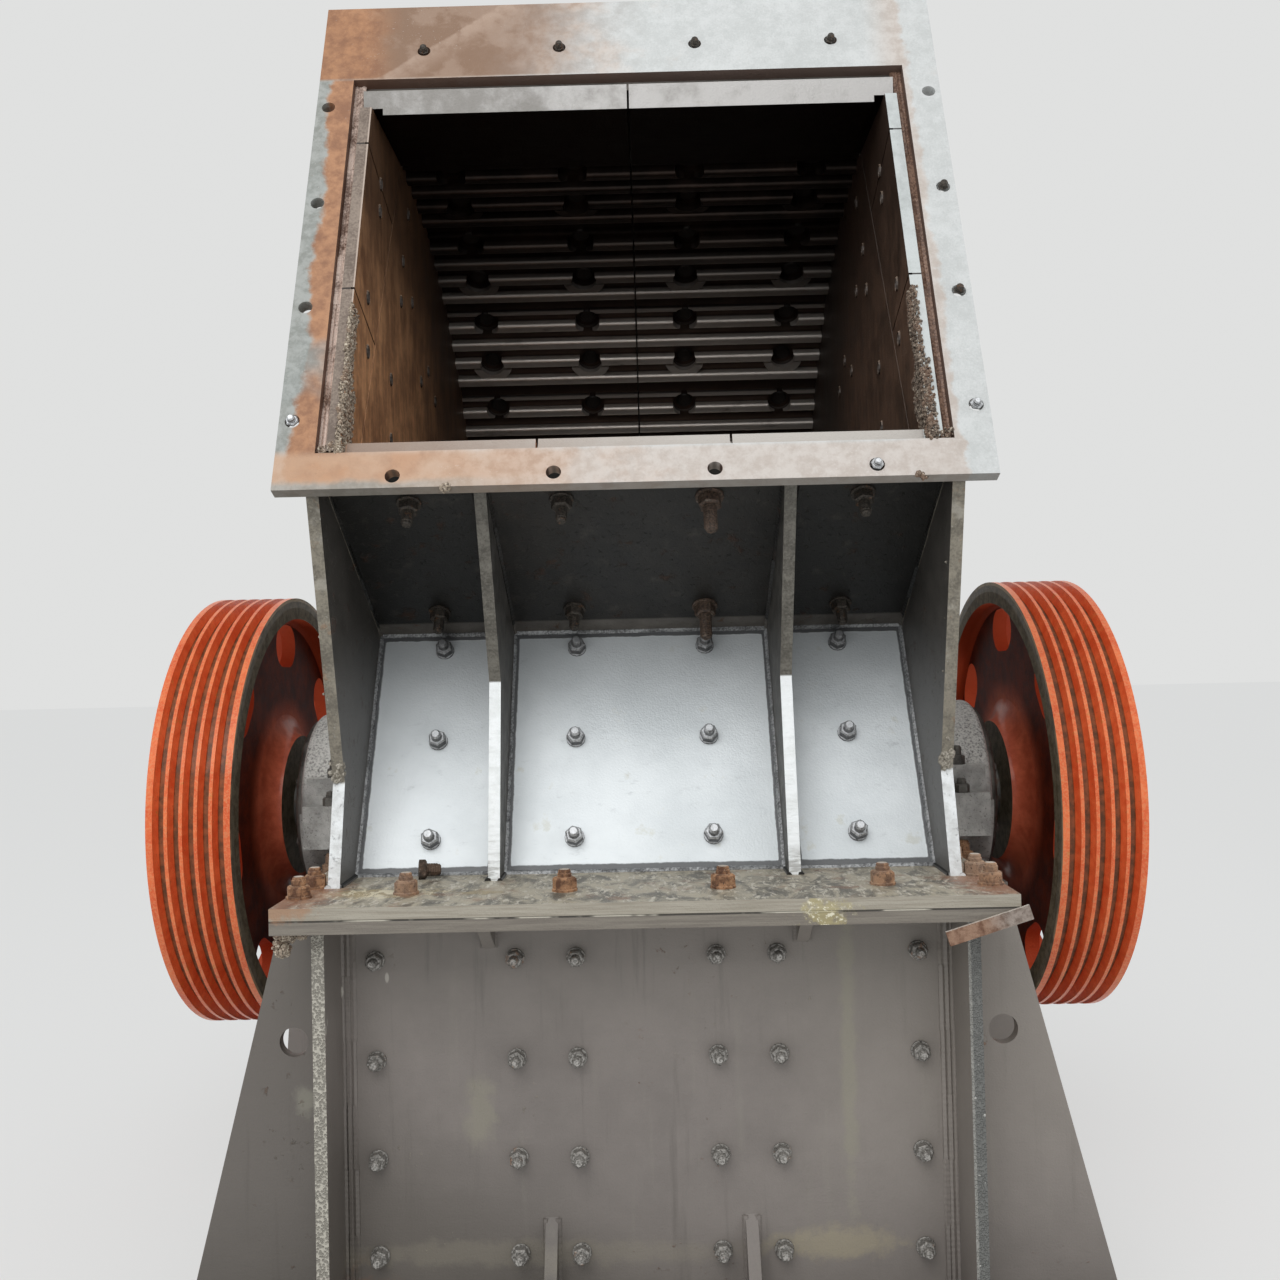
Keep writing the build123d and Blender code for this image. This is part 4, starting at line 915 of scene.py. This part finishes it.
colour = (
    wear_and_border_shade.blend((0.5, 0.512, 0.5), (0.6, 0.61, 0.6))
    .coat(tan, (soft + x.ramp(0.35, -0.35) * 0.24).ramp(0.6, 0.76) * 0.75)
    .coat(tan, inner_tan * 0.5)
    .coat((0.215, 0.124, 0.074), top_left * (soft + grain * 0.3).ramp(0.24, 0.5) * 0.97)
    .coat((0.36, 0.255, 0.19), top_left * blots.ramp(0.5, 0.62) * 0.5)
    .coat(orange, wavy_x.ramp(-0.42, -0.5) * high_strip * 0.85)
    .coat((0.44, 0.32, 0.245), streak * mottle.ramp(0.2, 0.6) * 0.55)
    .coat(slate, left * (1 - high_strip) * (1 - low_strip) * 0.95)
    .coat(orange, left_rust * (1 - high_strip) * 0.95)
    .coat((0.5, 0.315, 0.2), low_left * 0.8)
    .coat(orange, low_left * soft.ramp(0.46, 0.6) * climb.ramp(0.006, 0.03) * 0.55)
    .coat(slate, low_edge * 0.8)
    .coat((0.19, 0.095, 0.05), grain.ramp(0.62, 0.74) * (left + top_left).ramp(0, 1) * 0.55)
    .coat((0.8, 0.79, 0.76), grain.ramp(0.62, 0.72) * place.cloud(0.12, 3).ramp(0.5, 0.62) * 0.5)
    # Inner faces of the opening are dark brown, with painted shade on downward faces at top and foot.
    .coat((0.115, 0.062, 0.042), inner_faces * 0.92)
    .coat((0.13, 0.115, 0.095), nz.ramp(-0.85, -0.98) * climb.ramp(0.1, 0.05) * 0.9)
)
lay(mouth_paint, colour, 0.5 + mottle * 0.25, grain * 0.8 + mottle + blots, 0.001, 0.05)
dress(mouth_paint, "mouth_flange")

opening_tall = 0.803
bead_top = 0.066 + opening_tall
rim_runs = [
    (on_mouth(edge_x, 0.07, behind), on_mouth(edge_x, bead_top, behind))
    for edge_x, behind in ((0.503, 0.0205), (0.4965, 0.0205), (0.49, 0.019))
]
rim_paint, place, facing = new_finish("rim_paint")
grain = place.cloud(0.004, 4, 0.65)
blots = place.cloud(0.06, 4, 0.6)
lit_side = place.axes()[0].ramp(-0.1, -0.4) * facing.axes()[1].ramp(-0.3, -0.8)
colour = (
    (grain + blots * 0.5).ramp(0.66, 0.86).blend((0.115, 0.062, 0.042), (0.27, 0.165, 0.115))
    .coat((0.72, 0.58, 0.5), lit_side * (blots + grain * 0.5).ramp(0.55, 0.85) * 0.8)
)
lay(rim_paint, colour, 0.5, grain + blots, 0.0008, 0.1)
set_out("rim_welds", bead_unit, mirrored_runs(rim_runs), rim_paint)

hole_columns, side_hole, top_hole = (-0.3791, -0.1264, 0.1264, 0.3791), 0.5464, 0.938
stud_spots = [(px, top_hole) for px in hole_columns] + [(side_hole, 0.353), (side_hole, 0.578)]
bolt_spots = [(hole_columns[3], 0.021), (-side_hole, 0.127), (side_hole, 0.127)]
for name, shape, spots, turn, finish in (
    ("mouth_studs", nut_shape(0.016, 0.002, 0.007, 0.008), stud_spots, 0, nut_dark),
    ("mouth_bolts", nut_shape(0.0185, 0.004, 0.007, 0.006), bolt_spots, 0.3, nut_bright),
):
    places = [stands(on_mouth(px, up, -0.0005), -into_mouth, turn) for px, up in spots]
    set_out(name, shape, places, finish)
knobs = []
for px in (0.44, -0.3):
    knobs += slag_run(
        on_mouth(px, 0), on_mouth(px + 0.012, 0, 0.006), (0.002, 0.001, 0.002), 5, (0.004, 0.008),
    )
set_out("mouth_knobs", drop_shape, knobs, slag_crust)

# Wear liners: cast manganese plates on the sides, roof, chute floor, slanted plate and lower walls.
# Rubbed dark red-brown inside, with painted light making those on the left half warm and bright
# and painted shade darkening them higher up, further in and on downward faces; their front ends
# show as pale strips round the mouth.
liner_steel, place, facing = new_finish("liner_steel")
x, y, z = place.axes()
nx, ny, nz = facing.axes()
grain = place.cloud(0.004, 5, 0.68)
blots = place.cloud(0.075, 6, 0.68)
drips = place.stretched(12, 12, 1).cloud(0.22, 5, 0.65)
rub = place.stretched(1, 5, 0.8).cloud(0.09, 5, 0.65)
left = x.ramp(0.05, -0.05)
rubbed = (blots * 0.6 + rub * 0.4).ramp(0.36, 0.64)
dark = rubbed.blend((0.056, 0.033, 0.021), (0.156, 0.09, 0.058))
painted_light_warm = rubbed.blend((0.325, 0.155, 0.076), (0.81, 0.425, 0.21))
end_face = ny.ramp(-0.85, -0.92) * nz.ramp(0.2, 0.3)
end_pale = blots.ramp(0.35, 0.6).blend((0.42, 0.44, 0.43), (0.55, 0.575, 0.565))
end_brown = (
    (grain * 0.5 + blots * 0.5).ramp(0.4, 0.6).blend((0.12, 0.082, 0.06), (0.26, 0.2, 0.155))
    .coat((0.5, 0.4, 0.33), x.size().line(0.468, 0.0008, 0.0015) * 0.8)
)
climb = (z - mouth_foot.z) * (1 / sin(lean))
end_joints = climb.line(0.39, 0.0012, 0.0008) + climb.line(0.714, 0.0012, 0.0008)
ends = end_pale.coat(end_brown, left * 0.96).coat((0.012, 0.008, 0.006), end_joints * 0.95)
end_floor = (x + blots * 0.4).ramp(-0.3, 0.35).blend((0.3, 0.215, 0.165), (0.5, 0.465, 0.425))
floor_end = end_face * x.size().ramp(0.464, 0.46) * z.ramp(mouth_foot.z + 0.14, mouth_foot.z + 0.1)
roof_front = ny.ramp(-0.95, -0.99) * z.ramp(parting_z + 1.36, parting_z + 1.37)
roof_worn = (blots * 0.5 + rub * 0.5 + x.ramp(-0.5, 0.5) * 0.25).ramp(0.48, 0.72)
under = nz.ramp(-0.5, -0.8)
colour = (
    # Painted light: the liners on the left half warm and bright, with lighter drips on them.
    dark.coat(painted_light_warm, left)
    .coat((0.42, 0.23, 0.12), drips.ramp(0.58, 0.72) * left * 0.5)
    .coat((0.04, 0.03, 0.018), drips.ramp(0.42, 0.28) * 0.5)
    .coat((0.19, 0.135, 0.1), grain.ramp(0.64, 0.74) * rub.ramp(0.45, 0.6) * 0.6)
    # Painted shade: darker higher up and further in.
    .coat((0.03, 0.016, 0.01), z.ramp(mouth_foot.z + 0.26, mouth_foot.z + 0.62) * 0.8)
    .coat((0.01, 0.007, 0.005), y.ramp(axis_y - 0.3, axis_y + 0.15) * 0.7)
    .coat(ends, end_face * x.size().ramp(0.46, 0.464))
    .coat(end_floor, floor_end)
    .coat(roof_worn.blend((0.235, 0.222, 0.205), (0.46, 0.445, 0.43)), roof_front)
    # Painted shade: downward faces near black.
    .coat((0.012, 0.006, 0.004), under * 0.97)
)
lay(
    liner_steel, colour, 0.42 + blots * 0.22 + end_face * 0.1,
    grain + blots * 1.2 + rub, 0.0014, 0.25 - end_face * 0.2 + under * 0.7,
)
dress(
    liner_steel,
    "lower_liners", "grate_bars", "grate_sides", "front_liners", "roof_liners",
    "left_side_liner", "right_side_liner",
)
seam_x = 0.4672
crusts = []
for side, high_share, count, over in ((1, 0.43, 1500, 0.014), (-1, 0.42, 1400, 0.006)):
    low_up = opening_tall * 0.06 + 0.02
    high_up = opening_tall * high_share + 0.02
    middle_up = (low_up + high_up) / 2
    for start_up, end_up, wide in ((low_up, middle_up, 1.0), (middle_up, high_up, 0.55)):
        for behind, spread, share, largest, band in (
            (0.002, (0.001, 0.002, 0.002), 2, 0.0046, into_mouth * 0.055),
            (0, (0.0012, 0.001, 0.002), 3, 0.0034, across * side * over),
        ):
            start = on_mouth(side * seam_x, start_up, behind)
            end = on_mouth(side * seam_x, end_up, behind)
            crusts += slag_run(start, end, spread, int(count * wide / share), (0.0014, largest), band * wide)
    start, end = [on_mouth(side * px, 0.074, 0.003) for px in (0.468, 0.498)]
    crusts += slag_run(start, end, (0.003, 0.003, 0.004), 60, (0.0015, 0.0045))
set_out("liner_crust", drop_shape, crusts, slag_crust)

# Impact liners: cast curtains of near-black steel, polished on the ridges, with round bolt heads
# sunk in their pockets and painted as dark as the shade there. Painted light brightens the lower
# rows, and painted highlights lie on the ridge crests. The nuts are outside, on the rear wall, the
# rolled plate and the roof.
rear_inner = rear_radius - plate_thick
impact_steel, place, facing = new_finish("impact_steel")
y, z = place.axes()[1:]
nz = facing.axes()[2]
grain = place.cloud(0.005, 5, 0.65)
blots = place.cloud(0.09, 5, 0.65)
polish = place.stretched(0.5, 1, 1).cloud(0.05, 4, 0.6)
lit_low = z.ramp(parting_z + 1.36, parting_z + 1.12)
rise = z - rear_middle.z
from_middle = (y - rear_middle.y).reach(rise.maths("MAXIMUM", rise, 0.0))
crest = from_middle.ramp(rear_inner - 0.027, rear_inner - 0.034) * (0.08 + lit_low * 0.92)
polish_and_highlight = (crest + nz.ramp(0.1, 0.5) * lit_low * 0.3).ramp(0, 1)
colour = (
    blots.ramp(0.35, 0.7).blend((0.012, 0.007, 0.005), (0.04, 0.024, 0.018))
    # Painted light on the lower rows, and painted highlights on the polished ridge crests.
    .coat((0.11, 0.078, 0.064), lit_low * 0.5)
    .coat((0.68, 0.63, 0.58), polish_and_highlight * polish.ramp(0.1, 0.4) * 0.95)
)
lay(impact_steel, colour, 0.36 + blots * 0.18, grain * 0.4 + blots + polish * 0.4, 0.0008, 0.8)
dress(impact_steel, "impact_liners")
curtain_gap, curtain_foot, curtain_rows = 0.056, 0.084, 7
curtain_start = pi / 2 - curtain_gap / rear_inner
curtain_arc = curtain_start * rear_inner
curtain_length = curtain_arc + rear_middle.z - parting_z - curtain_foot


def curtain_spot(run, px, out):
    """Place on the rear plates at a run down the curtain, out from its back, and its way out."""
    if run < curtain_arc:
        turn = curtain_start - run / rear_inner
        way = Vector((0, cos(turn), sin(turn)))
        return rear_middle + way * (rear_inner + out) + Vector((px, 0, 0)), way
    way = Vector((0, 1, 0))
    drop = Vector((px, rear_inner + out, curtain_arc - run))
    return rear_middle + drop, way


head_shape = nut_shape(0.04, 0.003, 0, 0, sides=12)
heads, nuts = [], []
for row in range(curtain_rows):
    for share in (0.115, 0.6):
        for px in bolt_columns:
            run = (row + share) / curtain_rows * curtain_length
            for places, out, turned in ((heads, -0.019, -1), (nuts, plate_thick, 1)):
                spot, way = curtain_spot(run, px, out)
                places.append(stands(spot, way * turned, chance.uniform(0, 1)))
head_dark, place, facing = new_finish("head_dark")
grain = place.cloud(0.004, 4, 0.6)
# Near-black steel, painted darker still as the shade in the pockets.
colour = grain.ramp(0.35, 0.65).blend((0.007, 0.005, 0.004), (0.02, 0.015, 0.012))
lay(head_dark, colour, 0.6, grain, 0.0006, 0.2)
set_out("impact_bolt_heads", head_shape, heads, head_dark)
set_out("impact_bolt_nuts", wall_nut, nuts, nut_grey)
roof_spots = [(at(px, behind, roof_z), (0, 0, 1)) for px in bolt_columns for behind in (-0.53, -0.455)]
set_nuts("roof_nuts", wall_nut, roof_spots, nut_grey)

# Side liner bolts: countersunk heads inside, each a small cup painted dark as shade with a painted
# highlight on its upward-facing lip, and nuts outside on the side plates.
side_bolts = [
    (-0.56, 1.266), (-0.573, 1.21), (-0.681, 1.015), (-0.689, 0.917), (-0.504, 0.912),
    (-0.514, 0.795), (-0.37, 1.185), (-0.397, 1.095), (-0.284, 1.127), (-0.201, 0.98),
    (-0.116, 1.023), (-0.035, 0.973), (-0.309, 1.304), (0.1, 0.8), (0.28, 0.62),
    (0.1, 0.4), (0.45, 0.42), (0.6, 0.2), (-0.3, 0.55),
]
bm = bmesh.new()
bmesh.ops.create_cone(bm, cap_ends=True, segments=10, radius1=0.0085, radius2=0.007, depth=0.004)
bmesh.ops.scale(bm, vec=(1, 1.7, 1), verts=bm.verts)
cup_face = max(bm.faces, key=lambda each: each.calc_center_median().z)
bmesh.ops.inset_individual(bm, faces=[cup_face], thickness=0.0022, depth=-0.004)
bmesh.ops.recalc_face_normals(bm, faces=bm.faces)
cup_shape = closed_shape(bm)
heads, nuts = [], []
for side, name in ((-1, "left_side_liner"), (1, "right_side_liner")):
    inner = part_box(name)[1].x if side < 0 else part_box(name)[0].x
    for behind, above in side_bolts:
        heads.append(stands(at(inner - side * 0.001, behind, above), (-side, 0, 0)))
        nuts.append(stands(at(side * side_out, behind, above), (side, 0, 0), chance.uniform(0, 1)))
cup_steel, place, facing = new_finish("cup_steel")
nx, ny, nz = facing.axes()
grain = place.cloud(0.003, 4, 0.6)
# The cup painted dark as shade, with a painted highlight on its upward-facing lip.
colour = (
    grain.ramp(0.35, 0.65).blend((0.016, 0.01, 0.007), (0.045, 0.028, 0.018))
    .coat((0.42, 0.31, 0.23), nz.ramp(0.3, 0.55) * nx.size().ramp(0.95, 0.85))
)
lay(cup_steel, colour, 0.4, grain, 0.0005, 0.3)
set_out("side_bolt_heads", cup_shape, heads, cup_steel)
set_out("side_bolt_nuts", wall_nut, nuts, nut_grey)

# Bearing housings: split grey castings with rough skin, dusted pale and given painted light on top
# of the dome, and their round end covers in dark grey.
bearing_grey, place, facing = new_finish("bearing_grey")
z = place.axes()[2]
nz = facing.axes()[2]
grain = place.cloud(0.005, 5, 0.65)
blots = place.cloud(0.05, 5, 0.65)
# Up-facing faces above the axis: pale dust and painted light.
dust_and_painted_light = nz.ramp(0.05, 0.5) * z.ramp(axis_z + 0.02, axis_z + 0.08)
colour = (
    blots.ramp(0.35, 0.65).blend((0.32, 0.312, 0.292), (0.52, 0.51, 0.48))
    .coat((0.8, 0.79, 0.74), grain.ramp(0.4, 0.56) * dust_and_painted_light * 0.8)
    .coat((0.045, 0.036, 0.028), grain.ramp(0.42, 0.34) * 0.6)
)
lay(bearing_grey, colour, 0.5 + blots * 0.2, grain * 1.3 + blots, 0.0016, 0.1)
dress(bearing_grey, "left_bearing_base", "right_bearing_base", "left_bearing_cap", "right_bearing_cap")
bearing_dark, place, facing = new_finish("bearing_dark")
grain = place.cloud(0.005, 5, 0.65)
blots = place.cloud(0.06, 5, 0.65)
colour = (
    blots.ramp(0.35, 0.65).blend((0.055, 0.05, 0.043), (0.16, 0.15, 0.132))
    .coat((0.24, 0.23, 0.205), grain.ramp(0.6, 0.7) * 0.6)
)
lay(bearing_dark, colour, 0.42 + blots * 0.2, grain + blots, 0.0012, 0.3)
dress(bearing_dark, "left_bearing", "right_bearing")

# Bearing bolts: studs with nuts on the two steps of each cap and on the feet, and small screws
# round the end covers.
shelf_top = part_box("right_pedestal")[1].z - parting_z
cap_nut = nut_shape(0.03, 0.02, 0.0105, 0.018)
step_nut = nut_shape(0.029, 0.018, 0.01, 0.01)
foot_nut = nut_shape(0.036, 0.022, 0.0125, 0.02, washer=0.0205)
lug_mid = 0.667
shaft_above = axis_z - parting_z
for name, shape, behind, above, finish in (
    ("bearing_cap_nuts", cap_nut, 0.2095, shaft_above + 0.078, bearing_dark),
    ("bearing_lug_nuts", step_nut, 0.245, shaft_above + 0.022, bearing_dark),
    ("bearing_foot_nuts", foot_nut, 0.248, shelf_top + 0.034, bolt_rust),
):
    spots = [(at(side * lug_mid, end * behind, above), (0, 0, 1)) for side, end in quarters]
    set_nuts(name, shape, spots, finish)
cover_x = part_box("right_bearing")[1].x - 0.0005
screw_ring = 0.168
screw_spots = []
for side in (-1, 1):
    for turn in range(8):
        angle = pi / 8 + pi / 4 * turn
        spot = (side * cover_x, axis_y + screw_ring * cos(angle), axis_z + screw_ring * sin(angle))
        screw_spots.append((spot, (side, 0, 0)))
set_nuts("cover_screws", nut_shape(0.019, 0.008, 0, 0), screw_spots, bearing_dark)

# Shaft: turned steel, dark with old grease; a key at each end drives its pulley.
shaft_steel, place, facing = new_finish("shaft_steel")
grain = place.stretched(60, 1, 1).cloud(0.08, 4, 0.6)
blots = place.cloud(0.03, 4, 0.6)
colour = (
    grain.ramp(0.35, 0.7).blend((0.085, 0.08, 0.073), (0.24, 0.23, 0.215))
    .coat((0.13, 0.065, 0.035), blots.ramp(0.58, 0.7) * 0.7)
)
lay(shaft_steel, colour, 0.35 + grain * 0.3, grain + blots, 0.0005, 0.7)
dress(shaft_steel, "shaft")
pulley_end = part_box("right_pulley")[1].x
bm = bmesh.new()
bmesh.ops.create_cube(bm, size=1)
bmesh.ops.scale(bm, vec=(0.024, 0.036, 0.02), verts=bm.verts)
bmesh.ops.bevel(
    bm, geom=list(bm.edges), offset=0.002, affect="EDGES", segments=2, profile=0.5, material=-1,
)
key_shape = closed_shape(bm)
key_x = (pulley_end + shaft_high.x) / 2 - 0.003
set_out(
    "shaft_keys", key_shape,
    [Matrix.Translation((side * key_x, axis_y, axis_z + 0.064)) for side in (-1, 1)],
    shaft_steel, "rotor",
)

# Belt pulleys: cast iron in orange-red paint, brightest on the treads, with dark grease and painted
# shade in the grooves, bare grey-green rims and hub ends, webs painted dark red-brown as shade, and
# painted light on the hubs and on the walls of the windows in the webs.
pulley_red, place, facing = new_finish("pulley_red")
y, z = place.axes()[1:]
nx = facing.axes()[0]
reach = (y - axis_y).reach(z - axis_z)
grain = place.cloud(0.0045, 5, 0.68)
mottle = place.cloud(0.018, 5, 0.65)
blots = place.cloud(0.075, 5, 0.62)
wobble = (mottle - 0.5) * 0.004
patchy = (blots * 0.6 + mottle * 0.4).ramp(0.36, 0.64)
flat_face = nx.size().ramp(0.965, 0.985)
hub = reach.ramp(0.262, 0.2)
window_wall = reach.ramp(0.3, 0.305) * reach.ramp(0.436, 0.43) * (1 - flat_face)
rim_side = flat_face * reach.ramp(0.427, 0.429)
hub_side = flat_face * reach.ramp(0.1585, 0.1575)
rim_edge = flat_face * reach.ramp(0.469, 0.4715)
tread_zone = reach.ramp(0.456, 0.4575) * (1 - flat_face)
web_zone = reach.ramp(0.456, 0.455)
worn_land = reach.ramp(0.4765, 0.4774)
hub_red_painted_light = patchy.blend((0.56, 0.105, 0.048), (0.78, 0.18, 0.088))
olive = mottle.ramp(0.36, 0.62).blend((0.13, 0.1, 0.06), (0.245, 0.2, 0.135))
orange = (
    (blots * 0.5 + mottle * 0.5).ramp(0.36, 0.64).blend((0.74, 0.115, 0.032), (0.9, 0.215, 0.072))
    .coat((0.3, 0.075, 0.028), grain.ramp(0.58, 0.68) * 0.55)
    .coat((0.56, 0.26, 0.055), place.cloud(0.025, 5, 0.7).ramp(0.6, 0.72) * 0.6)
)
# Groove bottoms dark with grease and painted shade; orange lands and flanks above them.
tread = (
    mottle.ramp(0.36, 0.62).blend((0.115, 0.048, 0.018), (0.23, 0.08, 0.028))
    .coat(orange, (reach + wobble * 0.35).ramp(0.458, 0.4615))
    .coat((0.84, 0.33, 0.15), worn_land * grain.ramp(0.46, 0.6) * 0.45)
)
colour = (
    # Web painted dark as shade; hub red with painted light; window walls painted light.
    patchy.blend((0.08, 0.012, 0.005), (0.22, 0.032, 0.011))
    .coat(hub_red_painted_light, hub)
    .coat((0.56, 0.075, 0.022), window_wall * 0.9)
    .coat((0.02, 0.01, 0.006), grain.ramp(0.6, 0.72) * 0.45)
    .coat(olive, rim_side)
    .coat(olive, hub_side)
    .coat(tread, tread_zone)
    .coat((0.66, 0.5, 0.32), rim_edge * blots.ramp(0.4, 0.52) * 0.8)
)
lay(pulley_red, colour, 0.3 + mottle * 0.25 + web_zone * 0.22, grain + mottle + blots, 0.0009)
shader = pulley_red.node_tree.nodes["Principled BSDF"]
shader.inputs["Specular IOR Level"].default_value = 0.16
shader.inputs["Coat Roughness"].default_value = 0.16
gloss = tread_zone * 0.35 + hub * (1 - flat_face) * 0.35
pulley_red.node_tree.links.new(gloss.socket, shader.inputs["Coat Weight"])
dress(pulley_red, "left_pulley", "right_pulley")

# Rotor: discs, pins and hammers of dark worn steel, polished where the rock strikes.
rotor_steel, place, facing = new_finish("rotor_steel")
y, z = place.axes()[1:]
reach = (y - axis_y).reach(z - axis_z)
grain = place.cloud(0.005, 5, 0.65)
blots = place.cloud(0.07, 5, 0.65)
rust = place.cloud(0.03, 5, 0.7).ramp(0.54, 0.68)
colour = (
    blots.ramp(0.35, 0.66).blend((0.04, 0.03, 0.023), (0.12, 0.094, 0.072))
    .coat((0.15, 0.07, 0.035), rust * 0.7)
    .coat((0.26, 0.25, 0.235), reach.ramp(0.44, 0.5) * grain.ramp(0.35, 0.6) * 0.8)
)
lay(rotor_steel, colour, 0.4 + blots * 0.2 + rust * 0.2, grain + blots + rust, 0.0014, 0.6 - rust * 0.4)
dress(rotor_steel, "rotor_discs", "hammer_pins", "hammers")

# Loose bar: a rusty offcut of flat bar lodged at the right end of the flange, greyer at its free
# end, with painted light making its top face pale.
bar_low, bar_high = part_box("loose_bar")
bar_tilt = radians(17)
bar_mid = (bar_low + bar_high) / 2
bar_rust, place, facing = new_finish("bar_rust")
x, y, z = place.axes()
nz = facing.axes()[2]
along = (x - bar_mid.x) * cos(bar_tilt) + (z - bar_mid.z) * sin(bar_tilt)
grain = place.cloud(0.0035, 5, 0.7)
blots = place.cloud(0.016, 5, 0.65)
greyer = blots.ramp(0.36, 0.62).blend((0.17, 0.135, 0.11), (0.34, 0.295, 0.26))
colour = (
    blots.ramp(0.34, 0.62).blend((0.15, 0.07, 0.04), (0.32, 0.195, 0.13))
    .coat(greyer, (along + blots * 0.04).ramp(0.01, 0.055) * 0.85)
    .coat((0.085, 0.045, 0.028), grain.ramp(0.42, 0.3) * 0.75)
    # Up-facing faces: painted light, pale and speckled.
    .coat((0.66, 0.6, 0.53), nz.ramp(0.5, 0.85) * grain.ramp(0.34, 0.52) * 0.85)
)
lay(bar_rust, colour, 0.78, grain + blots * 1.4, 0.0016, 0.1)
dress(bar_rust, "loose_bar")
